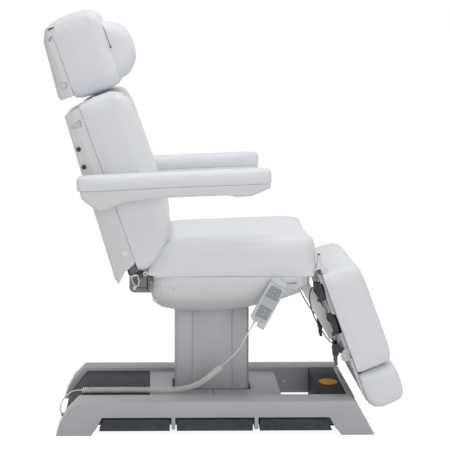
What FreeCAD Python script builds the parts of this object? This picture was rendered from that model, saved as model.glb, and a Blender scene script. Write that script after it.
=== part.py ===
"""Podiatry chair: electric lift column, tilting seat, reclining back and two split leg rests.

Millimetres. +X is forward to the sitter's feet, +Y is the sitter's left and +Z is up. The origin
lies on the floor under the middle of the chair. The chair stands as it does at rest: seat at its
lowest, back upright and both leg rests down.
"""
import math
import os

import FreeCAD
import Part
import Sketcher

Vector = FreeCAD.Vector
doc = FreeCAD.newDocument("podiatry_chair")
sheet = doc.addObject("Spreadsheet::Sheet", "Sizes")

# Driving dimensions, in millimetres and degrees, by the piece that they belong to
DIMENSIONS = {
    # Clearances and overruns that all pieces share
    "seat_gap": 0.3,
    "running_gap": 0.05,
    "overrun": 5,
    "weld": 1,
    # Base: two long rails with rocker pedals, and the deck between them
    "rail_outer_y": 300,
    "rail_inner_y": 200,
    "rail_top": 107,
    "rail_rear_x": 528,
    "rail_front_x": 474.5,
    "rail_edge_chamfer": 9,
    "foot_rear_length": 110,
    "foot_front_length": 105,
    "foot_lift": 19,
    "pedal_bay_top": 57,
    "pedal_bay_rear_x": 384,
    "pedal_bay_front_x": 333,
    "pedal_bay_flare": 22,
    "pedal_bay_depth": 62,
    "post_width": 12,
    "post_foot": 20,
    "rear_post_x": 165,
    "front_post_x": 96,
    "pedal_gap": 5,
    "pedal_bottom": 13,
    "pedal_depth": 50,
    "pedal_set_back": 4,
    "pedal_pin_radius": 5,
    "pedal_pin_length": 40,
    "pedal_edge": 3,
    "deck_top": 97,
    "deck_thick": 10,
    "deck_rear_x": 233,
    "deck_front_x": 191,
    "deck_flange": 60,
    "column_gap": 6,
    "deck_seam_x": 31,
    "deck_seam_width": 2,
    "cover_wall": 5,
    "cover_rear_x": 450,
    "cover_toe_x": 510,
    "cover_toe_z": 18,
    "box_rear_x": 312,
    "end_plate_thick": 11,
    "end_plate_lift": 4,
    "beam_width": 40,
    "beam_depth": 34,
    "beam_rear_x": 212,
    "beam_front_x": 120,
    "bed_thick": 10,
    "socket_radius": 11,
    "socket_length": 12,
    "socket_z": 26,
    "socket_y": 150,
    # Lift column: three nested sleeves with a screw actuator inside
    "column_x": 30.5,
    "column_length": 241,
    "column_width": 150,
    "sleeve_wall": 5,
    "sleeve_step": 4,
    "sleeve_corner": 12,
    "sleeve_bottom": 50,
    "sleeve_top": 405,
    "stage_drop": 10,
    "guide_height": 40,
    "panel_seam_inset": 56,
    "panel_seam_width": 2.5,
    "panel_seam_depth": 1.5,
    "lift_tube_radius": 24,
    "lift_rod_radius": 12,
    "lift_tube_top": 375,
    "lift_rod_bottom": 62,
    "lift_gear_radius": 30,
    "lift_gear_height": 66,
    # Lift head on the sleeve, which carries the tilt shaft
    "head_plate_thick": 10,
    "head_plate_rear_x": 205,
    "head_plate_front_x": 120,
    "head_plate_half": 66,
    "tilt_axis_x": 215,
    "tilt_axis_z": 450,
    "tilt_shaft_radius": 8,
    "tilt_lug_radius": 14,
    "tilt_lug_thick": 10,
    "tilt_lug_y": 110,
    "tilt_motor_radius": 17,
    "tilt_rod_radius": 8,
    "tilt_motor_length": 235,
    "tilt_motor_y": 45,
    "tilt_foot_x": 160,
    "tilt_foot_z": 434,
    "tilt_front_x": 150,
    "tilt_front_z": 470,
    "tilt_pin_radius": 5,
    # Seat pan: the moulded tub below the seat
    "pan_top": 500,
    "pan_depth": 136,
    "pan_rear_x": 229,
    "pan_front_x": 275,
    "pan_half": 281,
    "pan_wall": 4,
    "rod_slot_width": 90,
    "ear_slot_depth": 30,
    "ear_slot_drop": 12,
    "bracket_slot_length": 60,
    "pan_corner": 62,
    "pan_recess_x": 174,
    "pan_recess_z": 445,
    "pan_recess_width": 38,
    "pan_recess_height": 42,
    "pan_recess_depth": 12,
    "strut_slot_width": 46,
    "strut_slot_length": 95,
    "bracket_slot_width": 14,
    "bracket_slot_depth": 80,
    # Seat frame and cushion
    "seat_lean": 2,
    "seat_rear_x": 246,
    "seat_front_x": 291,
    "seat_half": 286,
    "seat_base": 503.5,
    "seat_thick": 112,
    "frame_side_inset": 58,
    "frame_side_thick": 8,
    "frame_depth": 34,
    "frame_top": 500,
    "bracket_rear_x": 297,
    "bracket_bottom": 445,
    "bracket_corner": 12,
    "side_slope": 40,
    "side_end": 8,
    "cross_bar_length": 16,
    "front_bar_inset": 20,
    "board_inset": 20,
    "board_front_gap": 16,
    "neck_length": 38,
    "neck_thick": 6,
    "neck_front": 9,
    "neck_rise": 17,
    "hanger_length": 34,
    "hanger_thick": 5,
    "hanger_rear_drop": 10,
    "hanger_half": 7,
    "hanger_reach": 9,
    "tilt_ear_half": 12,
    "tilt_ear_reach": 9,
    "tilt_ear_thick": 6,
    "seat_board_thick": 3,
    # Back: hinge, frame, shell and cushion, all along the leaning back
    "hinge_x": 270,
    "hinge_z": 487,
    "hinge_pin_radius": 8,
    "back_lean": 19.6,
    "shell_height": 569,
    "shell_depth": 79.5,
    "shell_front": 11.5,
    "shell_half": 262,
    "shell_wall": 4,
    "shell_corner": 5,
    "back_arm_inset": 53,
    "back_arm_thick": 8,
    "back_arm_half": 17,
    "back_arm_reach": 15,
    "back_arm_height": 60,
    "back_arm_join": 30,
    "back_member_inset": 37,
    "back_member_thick": 16,
    "back_member_depth": 42,
    "back_member_rear": 13,
    "back_member_front": 8,
    "back_member_foot": 22,
    "back_member_waist": 20,
    "back_member_drop": 49,
    "back_bar_rear": 12,
    "back_bar_height": 22,
    "back_bar_low": 70,
    "back_bar_drop": 24,
    "crank_radius": 32,
    "crank_y": 16,
    "crank_thick": 8,
    "crank_turn": 118,
    "crank_half": 8,
    "crank_reach": 9,
    "crank_root": 12,
    "crank_waist": 40,
    "crank_top": 86,
    "crank_pin_radius": 5,
    "socket_bore_radius": 7.5,
    "socket_block": 9.5,
    "socket_upper_z": 448.6,
    "socket_upper_n": 34.5,
    "socket_lower_z": 390.8,
    "socket_lower_n": 38,
    "cap_radius": 9.5,
    "cap_z": 93.8,
    "cap_n": 10.1,
    "cap_thick": 1.5,
    "arm_shaft_radius": 10,
    "cushion_half": 270,
    "cushion_rise": 15,
    "cushion_depth": 148,
    "cushion_corner": 30,
    "recline_motor_radius": 22,
    "recline_motor_length": 190,
    "recline_gear_length": 60,
    "recline_gear_reach": 20,
    "recline_rod_radius": 9,
    "recline_rod_inside": 130,
    "recline_rod_start": 8,
    "recline_motor_x": 215,
    "recline_eye_radius": 12,
    "recline_eye_bore": 9.5,
    # Head rest on two flat bars
    "head_gap": 5,
    "head_height": 268,
    "head_depth": 157,
    "head_half": 170,
    "head_shell_half": 165,
    "head_shell_height": 231,
    "head_shell_depth": 65,
    "head_shell_lift": 18,
    "head_shell_front": 4,
    "head_shell_wall": 4,
    "pillow_depth": 70,
    "pillow_height": 182,
    "pillow_half": 150,
    "pillow_lift": 25,
    "bar_width": 28,
    "bar_thick": 8,
    "bar_y": 46,
    "bar_n": 52,
    "bar_below": 150,
    "bar_above": 60,
    # Arm rests
    "arm_x": 378,
    "arm_z": 745,
    "arm_tilt": 2.4,
    "arm_inner_y": 278,
    "arm_width": 67,
    "arm_rear": 78,
    "arm_front": 525,
    "arm_pad_base": 32.5,
    "arm_pad_thick": 44.5,
    "arm_pad_corner": 16,
    "arm_shell_drop": 32,
    "arm_shell_inset": 5,
    "arm_shell_edge": 6,
    # Leg rests
    "leg_x": 293,
    "leg_z": 516,
    "leg_lean": 20.3,
    "leg_inner_y": 14,
    "leg_outer_y": 280,
    "leg_thick": 119,
    "leg_base_n": 9.5,
    "leg_length": 357,
    "leg_top_gap": 14,
    "tray_thick": 12,
    "tray_inner_y": 50,
    "tray_outer_y": 246,
    "tray_top": 14,
    "tray_bottom": 300,
    "leg_ear_inner_y": 70,
    "leg_ear_outer_y": 220,
    "leg_ear_thick": 8,
    "leg_ear_radius": 10,
    "leg_ear_root": 30,
    "leg_pin_radius": 5,
    "leg_barrel_radius": 9,
    "hinge_notch": 14,
    "knee_n": 12.2,
    "knee_drop": 282.3,
    "knee_radius": 12.6,
    "knee_pin_radius": 4,
    "foot_gap": 1.5,
    "foot_length": 127,
    "foot_rail_y": 22,
    "foot_rail_width": 20,
    "foot_rail_thick": 5,
    "foot_panel_top": 300,
    "foot_panel_bottom": 409,
    "foot_panel_thick": 9,
    "foot_panel_overhang": 6,
    # Leg struts: a square tube with a sliding rod
    "strut_x": 255,
    "strut_z": 470,
    "strut_width": 32,
    "strut_depth": 24,
    "strut_y": 150,
    "strut_tube_length": 212,
    "strut_rod_radius": 8,
    "strut_pin_radius": 5,
    "strut_bore_start": 18,
    "strut_rod_start": 84,
    "strut_eye_bore": 8.6,
    "strut_fork_gap": 14,
    "strut_fork_thick": 6,
    "strut_fork_radius": 15,
    "strut_fork_root": 6,
    "strut_hook_wall": 4,
    # Leg release gear on the outer side of each leg
    "gear_y": 222,
    "gear_width": 24,
    "block_depth": 26,
    "block_length": 60,
    "upper_block_drop": 68.5,
    "lower_block_drop": 179,
    "gear_rod_radius": 2,
    "gear_rod_above": 34,
    "gear_rod_hold": 4,
    "lever_bridge": 8,
    "lever_axis_drop": 20,
    "lever_n": 32.7,
    "lever_drop": 255.5,
    "lever_head_length": 44,
    "lever_head_depth": 16,
    "lever_length": 58,
    "lever_width": 12,
    "lever_half": 6,
    "lever_crown": 5,
    "lever_tip": 9,
    "lever_pin_radius": 3,
    # Handset with its hook
    "handset_x": 176,
    "handset_z": 492,
    "handset_lean": 28.7,
    "handset_length": 163,
    "handset_width": 55,
    "handset_thick": 22,
    "handset_y": 285,
    "handset_corner": 10,
    "handset_notch": 12,
    "handset_edge": 2.5,
    "key_length": 19,
    "key_width": 6,
    "key_rise": 1.2,
    "key_pitch": 8.6,
    "key_upper": 34,
    "key_lower": 92,
    "key_gap": 2.4,
    "keypad_thick": 0.8,
    "keypad_margin": 4.5,
    "keypad_above": 10,
    "keypad_below": 8,
    "hook_x": 222,
    "hook_z": 470,
    "hook_thick": 2,
    "hook_length": 58,
    "hook_half": 6,
    "hook_half_height": 9,
    "hook_sink": 2.2,
    "boot_length": 20,
    "boot_radius": 5,
    "boot_wall": 0.8,
    # Handset cord
    "cord_diameter": 4.2,
    "coil_diameter": 20,
    "coil_turns": 24,
    "coil_lead": 22,
}

# Sizes that follow from others: the frames keep their places inside the back's shell
DERIVED = {
    "frame_side_y": "shell_half - frame_side_inset",
    "back_arm_y": "shell_half - back_arm_inset",
    "back_member_y": "shell_half - back_member_inset",
    "back_member_top": "shell_height - back_member_drop",
    "cushion_top": "shell_height + cushion_rise",
}

for row, alias in enumerate([*DIMENSIONS, *DERIVED], start=1):
    sheet.set(f"A{row}", alias)
    sheet.set(f"B{row}", str(DIMENSIONS[alias]) if alias in DIMENSIONS else f"={DERIVED[alias]}")
    sheet.setAlias(f"B{row}", alias)
doc.recompute()


class Size:
    """A number together with the sheet expression that gives it."""

    def __init__(self, number, text):
        self.number = float(number)
        self.text = text

    def __float__(self):
        return self.number

    def joined(self, sign, other, number, swapped=False):
        """Both operands' expressions, with the operator between them."""
        other_text = other.text if isinstance(other, Size) else repr(float(other))
        first, second = (other_text, self.text) if swapped else (self.text, other_text)
        return Size(number, f"({first} {sign} {second})")

    def __add__(self, other):
        return self.joined("+", other, self.number + float(other))

    def __radd__(self, other):
        return self.joined("+", other, float(other) + self.number, swapped=True)

    def __sub__(self, other):
        return self.joined("-", other, self.number - float(other))

    def __rsub__(self, other):
        return self.joined("-", other, float(other) - self.number, swapped=True)

    def __mul__(self, other):
        return self.joined("*", other, self.number * float(other))

    def __rmul__(self, other):
        return self.joined("*", other, float(other) * self.number, swapped=True)

    def __truediv__(self, other):
        return self.joined("/", other, self.number / float(other))

    def __neg__(self):
        return Size(-self.number, f"(-{self.text})")


class Sheet:
    """The sheet's cells as sizes, by alias."""

    def __getattr__(self, alias):
        return Size(sheet.get(alias), f"Sizes.{alias}")


S = Sheet()
# Halving, doubling and other plain shares
HALF = 0.5
TWICE = 2
# How near to a plane an edge lies that counts as being on it
NEAR = 1.0


def sine(angle):
    """The sine of an angle of the sheet, as a plain number."""
    return math.sin(math.radians(float(angle)))


def cosine(angle):
    """The cosine of an angle of the sheet, as a plain number."""
    return math.cos(math.radians(float(angle)))


# Features of a part design body

def new_body(label):
    """An empty body with its own label."""
    body = doc.addObject("PartDesign::Body", label)
    body.Label = label
    return body


def plane_of(body, role):
    """One of the body's own origin planes."""
    return next(f for f in body.Origin.OriginFeatures if f.Role == role)


def bind(thing, path, size):
    """Ties a property to its expression, or sets it where it is a plain number."""
    if isinstance(size, Size):
        thing.setExpression(path, size.text)
    else:
        setattr(thing, path, size)


def new_sketch(body, name, plane="XZ_Plane", offset=None):
    """A sketch on an origin plane, moved along the plane's normal by offset."""
    sketch = body.newObject("Sketcher::SketchObject", name)
    sketch.AttachmentSupport = [(plane_of(body, plane), "")]
    sketch.MapMode = "FlatFace"
    if offset is not None:
        sketch.AttachmentOffset = FreeCAD.Placement(
            Vector(0, 0, float(offset)), FreeCAD.Rotation()
        )
        if isinstance(offset, Size):
            sketch.setExpression("AttachmentOffset.Base.z", offset.text)
    return sketch


def hold_point(sketch, edge, point, place):
    """Fixes a point of the sketch at its two distances from the origin."""
    for kind, distance in zip(("DistanceX", "DistanceY"), place):
        index = sketch.addConstraint(
            Sketcher.Constraint(kind, -1, 1, edge, point, float(distance))
        )
        if isinstance(distance, Size):
            sketch.setExpression(f"Constraints[{index}]", distance.text)


def polygon(body, name, points, plane="XZ_Plane", offset=None):
    """A closed outline of straight edges through the points."""
    sketch = new_sketch(body, name, plane, offset)
    count = len(points)
    corners = [Vector(float(a), float(b), 0) for a, b in points]
    for i in range(count):
        edge = Part.LineSegment(corners[i], corners[(i + 1) % count])
        sketch.addGeometry(edge, False)
    for i in range(count):
        sketch.addConstraint(Sketcher.Constraint("Coincident", i, 2, (i + 1) % count, 1))
    for i, place in enumerate(points):
        hold_point(sketch, i, 1, place)
    return sketch


def rectangle(body, name, low, high, plane="XZ_Plane", offset=None):
    """A rectangle between two opposite corners."""
    points = [low, (high[0], low[1]), high, (low[0], high[1])]
    return polygon(body, name, points, plane, offset)


def circle(body, name, centre, radius, plane="XZ_Plane", offset=None):
    """A circle about a centre."""
    sketch = new_sketch(body, name, plane, offset)
    middle = Vector(float(centre[0]), float(centre[1]), 0)
    sketch.addGeometry(Part.Circle(middle, Vector(0, 0, 1), float(radius)), False)
    hold_point(sketch, 0, 3, centre)
    index = sketch.addConstraint(Sketcher.Constraint("Radius", 0, float(radius)))
    if isinstance(radius, Size):
        sketch.setExpression(f"Constraints[{index}]", radius.text)
    return sketch


def extrude(body, kind, sketch, length, side="One side", back=False):
    """A pad or pocket of the sketch; back points it against the sketch's normal."""
    feature = body.newObject(f"PartDesign::{kind}", f"{sketch.Name}_{kind.lower()}")
    feature.Profile = sketch
    feature.SideType = side
    feature.Reversed = back
    bind(feature, "Length", length)
    doc.recompute()
    return feature


def pad(body, sketch, length, side="One side", back=False):
    return extrude(body, "Pad", sketch, length, side, back)


def pocket(body, sketch, length, side="One side", back=False):
    before = body.Shape.Volume
    feature = extrude(body, "Pocket", sketch, length, side, back)
    if body.Shape.Volume > before - 1e-3:
        raise ValueError(f"{feature.Label} cuts nothing")
    return feature


def edges_where(shape, test):
    """Names of the shape's edges that pass the test of their centre and their direction."""
    names = []
    for i, edge in enumerate(shape.Edges, start=1):
        if not isinstance(edge.Curve, (Part.Line, Part.LineSegment)):
            continue
        start, end = edge.Vertexes[0].Point, edge.Vertexes[-1].Point
        if test((start + end) * HALF, (end - start).normalize()):
            names.append(f"Edge{i}")
    return names


def dress(body, kind, size, test):
    """A fillet or chamfer on the edges of the body's tip that pass the test."""
    base = body.Tip
    names = edges_where(base.Shape, test)
    if not names:
        raise ValueError(f"{body.Label}: no edge passes the test of a {kind.lower()}")
    feature = body.newObject(f"PartDesign::{kind}", f"{body.Name}_{kind.lower()}")
    feature.Base = (base, names)
    bind(feature, "Radius" if kind == "Fillet" else "Size", size)
    doc.recompute()
    return feature


def along(direction, axis):
    """Whether an edge's direction runs along an axis: 0 is x, 1 is y and 2 is z."""
    return abs(direction[axis]) > 0.999


def set_place(thing, x, z, lean):
    """Puts the piece's own origin at a pivot and leans it about +Y."""
    thing.Placement = FreeCAD.Placement(
        Vector(float(x), 0, float(z)), FreeCAD.Rotation(Vector(0, 1, 0), float(lean))
    )
    thing.setExpression("Placement.Base.x", x.text)
    thing.setExpression("Placement.Base.z", z.text)
    thing.setExpression("Placement.Rotation.Angle", f"{lean.text} * 1 deg")
    doc.recompute()


def mirror(label, source):
    """The same piece on the sitter's other side."""
    twin = doc.addObject("Part::Mirroring", label)
    twin.Label = label
    twin.Source = source
    twin.Normal = Vector(0, 1, 0)
    doc.recompute()
    return twin


def feature(label, shape, placement=None):
    """A piece whose shape comes from Part's own functions."""
    piece = doc.addObject("Part::Feature", label)
    piece.Label = label
    piece.Shape = shape
    if placement is not None:
        piece.Placement = placement
    return piece


def leaning(x, z, lean):
    """The placement of a piece about a pivot, for shapes made with Part's functions."""
    turn = FreeCAD.Rotation(Vector(0, 1, 0), float(lean))
    return FreeCAD.Placement(Vector(float(x), 0, float(z)), turn)


# Upholstery forms

# How far the middle of a side is drawn in, as a share of half the side between its corners
DRAW_IN_SHARE = 0.018
# Steps of a quarter turn round a corner
CORNER_STEPS = 3


def soft_outline(low, high, corner, place, draw=DRAW_IN_SHARE):
    """A rounded rectangle whose sides are drawn in, as the corners of its short straight runs.

    low and high are opposite corners in the outline's own plane, and place turns a point of
    that plane into a point of the piece. Outlines of any size have their runs parallel, so a
    form through them is made of flat strips.
    """
    (u0, v0), (u1, v1) = low, high
    r = min(corner, 0.49 * (u1 - u0), 0.49 * (v1 - v0))
    um, vm = HALF * (u0 + u1), HALF * (v0 + v1)
    du, dv = draw * (HALF * (u1 - u0) - r), draw * (HALF * (v1 - v0) - r)
    turns = [(u1 - r, v0 + r), (u1 - r, v1 - r), (u0 + r, v1 - r), (u0 + r, v0 + r)]
    sides = [(u1 - dv, vm), (um, v1 - du), (u0 + dv, vm), (um, v0 + du)]
    points = []
    for i, (u, v) in enumerate(turns):
        for step in range(CORNER_STEPS + 1):
            angle = HALF * math.pi * (i - 1 + step / CORNER_STEPS)
            points.append(place(u + r * math.cos(angle), v + r * math.sin(angle)))
        if draw:
            points.append(place(*sides[i]))
    return points


def solid_through(rings):
    """A closed solid of flat strips between rings of equally many points."""
    count = len(rings[0])
    faces = [Part.Face(Part.makePolygon(ring + ring[:1])) for ring in (rings[0], rings[-1])]
    for lower, upper in zip(rings, rings[1:]):
        for i in range(count):
            after = (i + 1) % count
            strip = [lower[i], lower[after], upper[after], upper[i], lower[i]]
            faces.append(Part.Face(Part.makePolygon(strip)))
    skin = Part.makeShell(faces)
    skin.sewShape()
    solid = Part.makeSolid(skin)
    if solid.Volume < 0:
        solid.reverse()
    return solid


def soft_form(levels, place, draw=DRAW_IN_SHARE):
    """A solid through outlines at rising levels: (level, low, high, corner)."""
    rings = []
    for level, low, high, corner in levels:
        rings.append(
            soft_outline(low, high, corner, lambda u, v, w=level: place(u, v, w), draw)
        )
    return solid_through(rings)


def prism(points, start, width):
    """A plate along +Y from an outline in the XZ plane."""
    corners = [Vector(float(a), float(start), float(b)) for a, b in points]
    return Part.Face(Part.makePolygon(corners + corners[:1])).extrude(Vector(0, float(width), 0))


def flat_box(low, high):
    """A box between two opposite corners."""
    size = [float(b) - float(a) for a, b in zip(low, high)]
    return Part.makeBox(*size, Vector(*[float(a) for a in low]))


# Base

# Flats round the handset's socket
SOCKET_SIDES = 12


def base_rail():
    """The right rail: a moulded beam on two feet, with three pedal bays on its outer side."""
    body = new_body("base_rail_right")
    rear, front, top = S.rail_rear_x, S.rail_front_x, S.rail_top
    outline = [
        (-rear, 0),
        (-rear + 0.066 * top, 0.224 * top),
        (-rear + 0.299 * top, 0.636 * top),
        (-rear + 0.654 * top, top),
        (front - 0.631 * top, top),
        (front - 0.519 * top, 0.925 * top),
        (front, 0),
        (front - S.foot_front_length, 0),
        (front - S.foot_front_length - 0.7 * S.foot_lift, S.foot_lift),
        (-rear + S.foot_rear_length + 0.7 * S.foot_lift, S.foot_lift),
        (-rear + S.foot_rear_length, 0),
    ]
    pad(
        body,
        polygon(body, "rail_outline", outline, offset=S.rail_inner_y),
        S.rail_outer_y - S.rail_inner_y,
    )
    dress(
        body,
        "Fillet",
        0.2 * top,
        lambda c, d: along(d, 1) and HALF * float(top) < c.z < float(top) - NEAR and c.x < 0,
    )
    dress(
        body,
        "Chamfer",
        S.rail_edge_chamfer,
        lambda c, d: along(d, 0)
        and c.z > float(top) - NEAR
        and c.y < -float(S.rail_outer_y) + NEAR,
    )
    bay_low, bay_top = S.foot_lift - S.overrun, S.pedal_bay_top
    flare = S.pedal_bay_flare
    bays = [
        [
            (-S.pedal_bay_rear_x - flare, bay_low),
            (-S.rear_post_x, bay_low),
            (-S.rear_post_x, bay_top),
            (-S.pedal_bay_rear_x, bay_top),
        ],
        [
            (-S.rear_post_x + S.post_width, bay_low),
            (S.front_post_x, bay_low),
            (S.front_post_x, bay_top),
            (-S.rear_post_x + S.post_width, bay_top),
        ],
        [
            (S.front_post_x + S.post_width, bay_low),
            (S.pedal_bay_front_x + flare, bay_low),
            (S.pedal_bay_front_x, bay_top),
            (S.front_post_x + S.post_width, bay_top),
        ],
    ]
    for i, bay in enumerate(bays):
        sketch = polygon(body, f"bay_{i}", bay, offset=S.rail_outer_y)
        pocket(body, sketch, S.pedal_bay_depth)
    for i, (start, end, _) in enumerate(pedal_spans()):
        pin = circle(
            body,
            f"pedal_pin_{i}",
            (HALF * (start + end), pedal_axis_z()),
            S.pedal_pin_radius,
            offset=S.rail_outer_y - S.pedal_bay_depth - S.overrun,
        )
        pad(body, pin, S.pedal_pin_length + S.overrun)
    return body


def pedal_axis_z():
    """Height of the rocker pins, at the middle of the pedals."""
    return HALF * (S.pedal_bottom + S.pedal_bay_top - S.pedal_gap)


def pedal_spans():
    """Each pedal's rear end, front end and which end slants with its bay: -1, 0 or 1."""
    gap = S.pedal_gap
    return [
        (-S.pedal_bay_rear_x - 0.6 * S.pedal_bay_flare + gap, -S.rear_post_x - gap, -1),
        (-S.rear_post_x + S.post_width + gap, S.front_post_x - gap, 0),
        (
            S.front_post_x + S.post_width + gap,
            S.pedal_bay_front_x + 0.6 * S.pedal_bay_flare - gap,
            1,
        ),
    ]


def pedal(label, start, end, slant):
    """A rocker pedal with engraved up and down chevrons on its face."""
    body = new_body(label)
    top, bottom = S.pedal_bay_top - S.pedal_gap, S.pedal_bottom
    lean = 0.7 * S.pedal_bay_flare
    outline = [
        (start, bottom),
        (end, bottom),
        (end - lean if slant > 0 else end, top),
        (start + lean if slant < 0 else start, top),
    ]
    face = S.rail_outer_y - S.pedal_set_back
    side = polygon(body, f"{label}_outline", outline, offset=face - S.pedal_depth)
    pad(body, side, S.pedal_depth)
    dress(
        body,
        "Chamfer",
        S.pedal_edge,
        lambda c, d: along(d, 0) and c.y < -float(face) + NEAR,
    )
    bore = circle(
        body,
        f"{label}_bore",
        (HALF * (start + end), pedal_axis_z()),
        S.pedal_pin_radius + S.running_gap,
        offset=face - S.pedal_depth,
    )
    pocket(body, bore, S.pedal_pin_length - S.pedal_set_back, back=True)
    middle, reach = HALF * (start + end), 0.34 * (end - start)
    for side, point in ((-1, 1), (1, -1)):
        centre, rise = middle + side * reach, 0.16 * (top - bottom)
        half, stroke = 0.07 * (end - start), 0.07 * (top - bottom)
        z = pedal_axis_z()
        chevron = [
            (centre - half, z - point * rise),
            (centre, z + point * rise),
            (centre + half, z - point * rise),
            (centre + half, z - point * rise + point * stroke * TWICE),
            (centre, z + point * rise + point * stroke * TWICE),
            (centre - half, z - point * rise + point * stroke * TWICE),
        ]
        mark = polygon(body, f"{label}_mark_{point + 1}", chevron, offset=face)
        pocket(body, mark, S.key_rise)
    return body


def base_deck():
    """The recessed plate between the rails, open round the column, with flanges down its ends."""
    body = new_body("base_deck")
    top, under = S.deck_top, S.deck_top - S.deck_thick
    rear, front, thick = -S.deck_rear_x, S.deck_front_x, S.deck_thick
    outline = [
        (rear, top - S.deck_flange),
        (rear + thick, top - S.deck_flange),
        (rear + thick, under),
        (front - thick, under),
        (front - thick, top - S.deck_flange),
        (front, top - S.deck_flange),
        (front, top),
        (rear, top),
    ]
    width = TWICE * S.rail_inner_y
    pad(body, polygon(body, "deck_outline", outline), width, "Symmetric")
    half_x = HALF * S.column_length + S.column_gap
    half_y = HALF * S.column_width + S.column_gap
    opening = rectangle(
        body,
        "column_opening",
        (-S.column_x - half_x, -half_y),
        (-S.column_x + half_x, half_y),
        plane="XY_Plane",
        offset=top,
    )
    pocket(body, opening, S.deck_thick + S.overrun)
    seam = rectangle(
        body,
        "deck_seam",
        (-S.deck_seam_x, -S.rail_inner_y),
        (-S.deck_seam_x + S.deck_seam_width, -half_y),
        plane="XY_Plane",
        offset=top,
    )
    pocket(body, seam, S.deck_seam_width)
    return body


def socket_outline(body, name, radius, offset):
    """The handset socket's twelve-sided outline."""
    corners = []
    for i in range(SOCKET_SIDES):
        angle = TWICE * math.pi * (i + HALF) / SOCKET_SIDES
        across, up = math.cos(angle), math.sin(angle)
        corners.append((-S.socket_y + across * radius, S.socket_z + up * radius))
    return polygon(body, name, corners, plane="YZ_Plane", offset=offset)


def rear_cover():
    """The dark cover over the drive electronics, sloping down at its rear end."""
    body = new_body("rear_cover")
    top, wall = S.deck_top, S.cover_wall
    front = -S.deck_rear_x - S.seat_gap
    toe, rear = -S.cover_toe_x, -S.cover_rear_x
    outline = [(front, S.cover_toe_z), (front, top), (rear, top), (toe, S.cover_toe_z)]
    width = TWICE * S.rail_inner_y
    pad(body, polygon(body, "rear_cover_outline", outline), width, "Symmetric")
    dress(
        body,
        "Fillet",
        TWICE * wall,
        lambda c, d: along(d, 1) and c.z > float(top) - NEAR and c.x < float(rear) + NEAR,
    )
    hollow = [
        (front - wall, S.cover_toe_z - S.overrun),
        (front - wall, top - wall),
        (rear, top - wall),
        (toe + TWICE * wall, S.cover_toe_z - S.overrun),
    ]
    inside = polygon(body, "rear_cover_hollow", hollow)
    pocket(body, inside, width - TWICE * wall, "Symmetric")
    outlet = socket_outline(body, "cord_outlet", S.socket_radius + S.running_gap, rear)
    pocket(body, outlet, S.cover_toe_x)
    return body


def front_box():
    """The dark box at the front end, beyond the open well."""
    body = new_body("front_box")
    top, wall = S.rail_top - HALF * S.seat_gap, S.cover_wall
    rear = S.box_rear_x
    crest = S.rail_front_x - 0.631 * S.rail_top - S.end_plate_thick
    toe = S.rail_front_x - 0.06 * S.rail_top - S.end_plate_thick
    outline = [(rear, S.end_plate_lift), (rear, top), (crest, top), (toe, S.end_plate_lift)]
    width = TWICE * S.rail_inner_y
    pad(body, polygon(body, "front_box_outline", outline), width, "Symmetric")
    hollow = [
        (rear + wall, S.end_plate_lift - S.overrun),
        (rear + wall, top - wall),
        (crest - HALF * wall, top - wall),
        (toe - TWICE * wall, S.end_plate_lift - S.overrun),
    ]
    inside = polygon(body, "front_box_hollow", hollow)
    pocket(body, inside, width - TWICE * wall, "Symmetric")
    return body


def front_end_plate():
    """The pale plate that closes the base's sloping front end."""
    body = new_body("front_end_plate")
    top = S.rail_top - HALF * S.seat_gap
    gap = S.seat_gap
    crest = S.rail_front_x - 0.631 * S.rail_top - S.end_plate_thick + gap
    toe = S.rail_front_x - 0.06 * S.rail_top - S.end_plate_thick + gap
    outline = [
        (crest, top),
        (toe, S.end_plate_lift),
        (toe + S.end_plate_thick, S.end_plate_lift),
        (S.rail_front_x - 0.519 * S.rail_top, 0.925 * S.rail_top),
        (S.rail_front_x - 0.631 * S.rail_top, top),
    ]
    pad(body, polygon(body, "end_plate_outline", outline), TWICE * S.rail_inner_y, "Symmetric")
    return body


def chassis():
    """Two cross beams between the rails and the bed that carries the column."""
    body = new_body("chassis")
    top = S.deck_top - S.deck_thick
    bottom = top - S.beam_depth
    bed_top = S.sleeve_bottom - S.overrun
    outline = [
        (-S.beam_rear_x, bed_top - S.bed_thick),
        (S.beam_front_x + S.beam_width, bed_top - S.bed_thick),
        (S.beam_front_x + S.beam_width, bed_top),
        (-S.beam_rear_x, bed_top),
    ]
    bed = polygon(body, "bed_outline", outline)
    pad(body, bed, S.column_width + TWICE * S.beam_width, "Symmetric")
    for i, rear in enumerate((-S.beam_rear_x, S.beam_front_x)):
        beam = rectangle(
            body, f"beam_{i}", (rear, bed_top - HALF * S.bed_thick), (rear + S.beam_width, top)
        )
        pad(body, beam, TWICE * S.rail_inner_y, "Symmetric")
        hollow = rectangle(
            body,
            f"beam_hollow_{i}",
            (rear + S.cover_wall, bottom + S.cover_wall),
            (rear + S.beam_width - S.cover_wall, top - S.cover_wall),
        )
        pocket(body, hollow, TWICE * (S.rail_inner_y + S.overrun), "Symmetric")
    return body


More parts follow.
